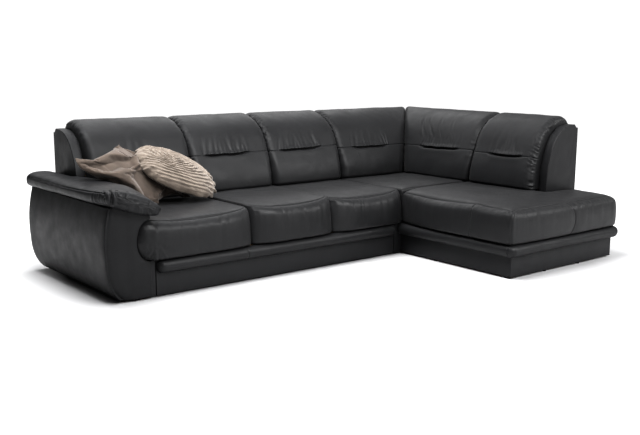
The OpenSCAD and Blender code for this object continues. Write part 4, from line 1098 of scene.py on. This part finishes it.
def under_pleats(spots):
    """Which places are inside the pleated cushion or less than a few mm behind it."""
    a, b, lift = PLEAT_AXES @ (spots - PLEAT_MIDDLE).T
    rho = ((np.abs(a) / PLEAT_LONG) ** 2.5 + (np.abs(b) / PLEAT_SHORT) ** 2.5) ** 0.4
    dome = np.clip(1 - rho**2.5, 0, 1) ** 0.62
    return (rho < 1.02) & (lift > -44 * dome - 10)


def settle(form, pressure, slack, cap):
    """Lets the form's cover settle as cloth under its filling's pressure. slack is how much larger the
    cover is than the filling, and cap how far a point may move, in mm."""
    mesh = bpy.data.meshes.new("settling")
    mesh.from_pydata((form.p * 0.001).tolist(), [], form.faces())
    obj = bpy.data.objects.new("settling", mesh)
    scene = bpy.context.scene
    scene.collection.objects.link(obj)
    cloth = obj.modifiers.new("cloth", "CLOTH")
    cloth.point_cache.frame_start, cloth.point_cache.frame_end = 1, CLOTH_FRAMES
    s = cloth.settings
    s.quality, s.mass = 5, 0.3
    s.tension_stiffness = s.compression_stiffness = 18.0
    s.shear_stiffness, s.bending_stiffness = 6.0, 0.6
    s.use_pressure, s.uniform_pressure_force = True, pressure
    s.shrink_min = -slack
    s.effector_weights.gravity = 0.0
    for frame_number in range(1, CLOTH_FRAMES + 1):
        scene.frame_set(frame_number)
    now = obj.evaluated_get(bpy.context.evaluated_depsgraph_get()).data
    after = np.empty(len(mesh.vertices) * 3)
    now.vertices.foreach_get("co", after)
    move = after.reshape(-1, 3) * 1000 - form.p
    far = np.linalg.norm(move, axis=1)[:, None]
    form.p += move * np.minimum(1, cap / np.maximum(far, 1e-6))
    bpy.data.objects.remove(obj)
    bpy.data.meshes.remove(mesh)
    scene.frame_set(1)


def plain_pillow():
    """A full cushion with pointed ears, its sides drawn in, and loose folds towards the ears."""
    corners = np.array(PLAIN, float) + np.array([-SEAT_RUN, 0, CROWN])
    side = np.sin(np.linspace(-1, 1, 110) * 1.25) / math.sin(1.25)
    _, quads, u, v, w = block(side, side, np.arange(2))
    uu = u * (1 - np.where(u < 0, 0.11, 0.1) * (1 - np.abs(v) ** 3.2))
    vv = v * (1 + np.where(v < 0, 0.3, -0.1) * (1 - np.abs(u) ** 5))
    flat = sum(np.outer((1 + cu * uu) * (1 + cv * vv) / 4, c) for (cu, cv), c in zip(EARS, corners))
    n = np.cross(corners[2] - corners[0], corners[1] - corners[3])
    n = n / np.linalg.norm(n)
    puff = (arch(u, 2.1) * arch(v, 2.1)) ** 1.2
    upper = w == 1
    lift = np.where(upper, 92.0, -56.0) * puff + np.where(upper, 1.0, -1.0) * (puff < 0.02)
    # Folds run in from each ear, and a few long ones lie across the face
    relief = 4 * noise(501, u * 1.8, v * 1.8) + 2.0 * noise(502, u * 5, v * 5)
    for seed, (cu, cv) in enumerate(EARS, 503):
        far = np.hypot(u - cu, v - cv)
        turn = np.arctan2((v - cv) * -cv, (u - cu) * -cu)
        relief += 4.2 * fade(far, 0.5) * smooth(far / 0.12) * noise(seed, turn * 6.0, far * 1.2)
    for u0, v0, u1, v1, deep, wide in PLAIN_FOLDS:
        line = np.linspace((u0, v0, 0), (u1, v1, 0), 9)
        line[:, 1] += 0.06 * np.sin(np.linspace(0, 3, 9))
        away, along = near_line(xyz(u, v, 0), line)
        ends = smooth(along / 0.2) * smooth((math.hypot(u1 - u0, v1 - v0) - along) / 0.25)
        relief += deep * ends * fold(away, wide, 0.7, 1.3)
    lift = lift + np.where(upper, 1.0, 0.4) * relief * puff**0.7
    # The pleated cushion lies on this one and presses it in
    spots = flat + np.outer(lift, n)
    for _ in range(60):
        spots[under_pleats(spots)] -= 4.0 * n
    form = Form(spots, quads)
    form.soften(9, smooth((u + 0.75) / 0.3))
    form.soften(2)
    settle(form, 3.0, 0.09, 24.0)
    form.soften(1)
    piece("pillow_plain", form, TAUPE, ["scatter_cushion_plain"])


def pleated_pillow():
    """An oval cushion whose cloth lies in overlapping pleats round its middle, with a ruffled edge."""
    turns = np.linspace(0, 2 * math.pi, 361)[:-1]
    c, s = np.cos(turns), np.sin(turns)
    reach_u, reach_v = signed_power(c, 0.8), signed_power(s, 0.8)
    rim = 0.9 + 0.1 * np.sin(np.linspace(0.1, 1, 12) * math.pi / 2)
    outward = np.concatenate([np.linspace(0.02, 0.9, 84), rim])
    back = 0.9 + 0.1 * np.cos(np.linspace(0.1, 1, 8) * math.pi / 2)
    rings = []
    for k, rho in enumerate(np.concatenate([outward, back, np.linspace(0.88, 0.05, 26)])):
        top = k < len(outward)
        ruffle = noise(511, c * 9, s * 9) * (0.6 + 0.8 * np.abs(c) ** 3)
        grow = 1 + rho**8 * 0.05 * ruffle
        a, b = PLEAT_LONG * rho * reach_u * grow, PLEAT_SHORT * rho * reach_v * grow
        dome = np.clip(1 - rho**2.3, 0, 1) ** 0.6
        lift = (84 if top else -44) * dome * (1 - 0.14 * reach_u * rho)
        # Pleats wind round a point off the middle, each one lying over the next
        da, db = (a + 72) / PLEAT_LONG, (b - 34) / 105
        turn, reach = np.arctan2(db, da), np.hypot(da, db)
        ct, st = np.cos(turn), np.sin(turn)
        phase = 8.0 * reach**0.85 + turn / (2 * math.pi)
        phase += 0.5 * noise(512, ct * 2.4, st * 2.4, 3 * rho) + 0.14 * noise(513, ct * 7, st * 7, 5 * rho)
        wave = phase % 1.0
        saw = np.where(wave < 0.78, wave / 0.78, (1 - wave) / 0.22)
        depth = 7.6 + 4.0 * noise(514, ct * 3, st * 3, 4 * rho)
        fine = 2.6 * noise(515, ct * 3, st * 3, 34 * rho + 2 * np.sin(3 * turn))
        pleat = (depth * (saw - 0.5) + fine) * smooth(reach / 0.08) * (1.0 if top else 0.35)
        flare = 13.0 * rho**7 * noise(516, c * 9, s * 9) * (0.5 + np.abs(c) ** 2)
        rings.append(PLEAT_MIDDLE + xyz(a, b, lift + pleat * (1 - rho**14) + flare) @ PLEAT_AXES)
    form = ring_form(rings)
    form.flip()
    form.soften(1)
    piece("pillow_pleated", form, CREAM, ["scatter_cushion_pleated"])


plain_pillow()
pleated_pillow()

# Mattress


def bed_mattress():
    """The bed's mattress, its top quilted in a lattice of grooves."""
    low, high = design_box("bed_mattress")
    wide, long, tall = high - low
    xs, ys = axis(0, wide, 14.0, 4.0, 20.0), axis(0, long, 14.0, 4.0, 20.0)
    _, quads, x, y, z = block(xs, ys, np.linspace(0, tall, 9))
    form = Form(low + xyz(x, y, z), quads)
    form.soften(6)
    edge = np.minimum(to_end(x, 0, wide), to_end(y, 0, long))
    quilt = np.minimum(np.abs(np.sin((x + y) * math.pi / 130)), np.abs(np.sin((x - y) * math.pi / 130)))
    form.push(-5.0 * (z > tall - 0.1) * smooth(edge / 30) * bell(quilt / 0.3), UP)
    piece("bed_mattress_quilted", form, TICKING, ["bed_mattress"], "bed_drawer")


bed_mattress()

# Materials of the frame's own pieces

PANEL_NODES = """bench_side_board_left bench_side_board_right plinth_panel_inner plinth_panel_front
    plinth_panel_right arm_inner_panel bed_front_panel"""
LINING_NODES = """bench_rear_board plinth_panel_rear back_rear_panel_bench back_rear_panel_corner
    back_right_panel_corner arm_rear_panel arm_pad_board"""
TIMBER_NODES = """bench_deck_rails bench_seat_frames corner_deck_rails corner_seat_frames back_rails_bench
    back_rails_corner bed_guide_rails"""
FINISHES = (
    (PANELS_IN_PAINTED_SHADE, PANEL_NODES),
    (LINING, LINING_NODES),
    (TIMBER, TIMBER_NODES),
    (BED_TIMBER, "bed_frame bed_slats"),
    (PLYWOOD, "corner_bottom_board back_ribs_bench back_ribs_corner arm_ribs"),
    (SPRING, "bench_springs corner_springs"),
    (FITTINGS, "module_bolts arm_bolts bed_roller_forks"),
    (PLASTIC, "floor_glides bed_rollers_front bed_rollers_rear"),
    (WEBBING, "back_webbing_bench back_webbing_corner"),
)
for material, names in FINISHES:
    for node_name in names.split():
        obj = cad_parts[node_name]
        if not obj.material_slots:
            obj.data.materials.append(material)
        for s in obj.material_slots:
            s.material = material

# Floor, light and camera

FLOOR = 30.0
WORLD_LOW, WORLD_HIGH = 0.04, 0.36
# Name, place, aim, size and power of each lamp, in metres and watts
LIGHTS = (
    ("rear_top", (0.8, 3.6, 3.6), (-0.1, 0.0, 0.4), (6.0, 3.0), 65),
    ("key", (-0.1, -4.5, 4.2), (0.0, 0.1, 0.5), (3.6, 2.4), 245),
    ("side", (3.4, -4.2, 2.4), (0.0, 0.4, 0.6), (2.2, 1.8), 85),
    ("sheen", (-1.7, 0.3, 4.4), (0.0, 0.1, 0.4), (2.6, 2.6), 50),
    ("top", (-0.9, 0.2, 4.4), (0.0, 0.1, 0.4), (2.6, 2.6), 355),
)


def floor():
    """White paper under the sofa. It is lit by the lamps alone, and far from the sofa it glows as well."""
    mesh = bpy.data.meshes.new("floor")
    rim = [(-FLOOR, -FLOOR, 0), (FLOOR, -FLOOR, 0), (FLOOR, FLOOR, 0), (-FLOOR, FLOOR, 0)]
    mesh.from_pydata(rim, [], [(0, 1, 2, 3)])
    plane = bpy.data.objects.new("floor", mesh)
    bpy.context.scene.collection.objects.link(plane)
    n = Surface("floor_paint")
    tone = n.mix(n.noise(0.6), (0.43, 0.43, 0.435), (0.45, 0.45, 0.455))
    away = n.add("ShaderNodeVectorMath", {0: n.place}, operation="LENGTH").outputs["Value"]
    glow = n.range(away, 1.62, 2.9, 0.0, 0.6)
    n.finish(tone, 0.9, Specular_IOR_Level=0.05, Emission_Color=(1, 1, 1, 1), Emission_Strength=glow)
    plane.data.materials.append(n.material)


def studio():
    """White where the camera sees it. As light it is brightest ahead and to the right, and dim at the rear."""
    world = bpy.data.worlds.new("studio")
    bpy.context.scene.world = world
    world.use_nodes = True
    n = Nodes(world.node_tree)
    way = n.add("ShaderNodeTexCoord").outputs["Generated"]
    toward = n.add("ShaderNodeVectorMath", {0: way, 1: (0.62, -0.35, 0.70)}, operation="DOT_PRODUCT")
    facing = toward.outputs["Value"]
    spread = n.range(facing, -0.35, 0.95, WORLD_LOW, WORLD_HIGH, interpolation_type="SMOOTHSTEP")
    seen = n.add("ShaderNodeLightPath").outputs["Is Camera Ray"]
    chosen = n.add("ShaderNodeMix", {0: seen, 2: spread, 3: 1.0}, data_type="FLOAT")
    background = n.tree.nodes["Background"].inputs
    n.put(chosen.outputs[0], background["Strength"])
    n.put((1, 1, 1, 1), background["Color"])


def lamps():
    """The lamps. The one overhead isn't mirrored in the leather."""
    for name, place, aim, size, energy in LIGHTS:
        light = bpy.data.lights.new(name, "AREA")
        light.shape, light.size, light.size_y, light.energy = "RECTANGLE", *size, energy
        lamp = bpy.data.objects.new(name, light)
        lamp.location = place
        lamp.visible_glossy = name != "top"
        lamp.rotation_euler = (Vector(aim) - Vector(place)).to_track_quat("-Z", "Y").to_euler()
        bpy.context.scene.collection.objects.link(lamp)


def camera():
    data = bpy.data.cameras.new("camera")
    data.sensor_width, data.lens = SENSOR, LENS
    cam = bpy.data.objects.new("camera", data)
    cam.matrix_world = Matrix.Translation(Vector(CAMERA_PLACE * 0.001 + SHIFT)) @ CAMERA_TURN.to_4x4()
    bpy.context.scene.collection.objects.link(cam)
    bpy.context.scene.camera = cam


floor()
studio()
lamps()
camera()
bpy.context.scene.view_settings.view_transform = "Standard"
bpy.context.scene.view_settings.look = "High Contrast"
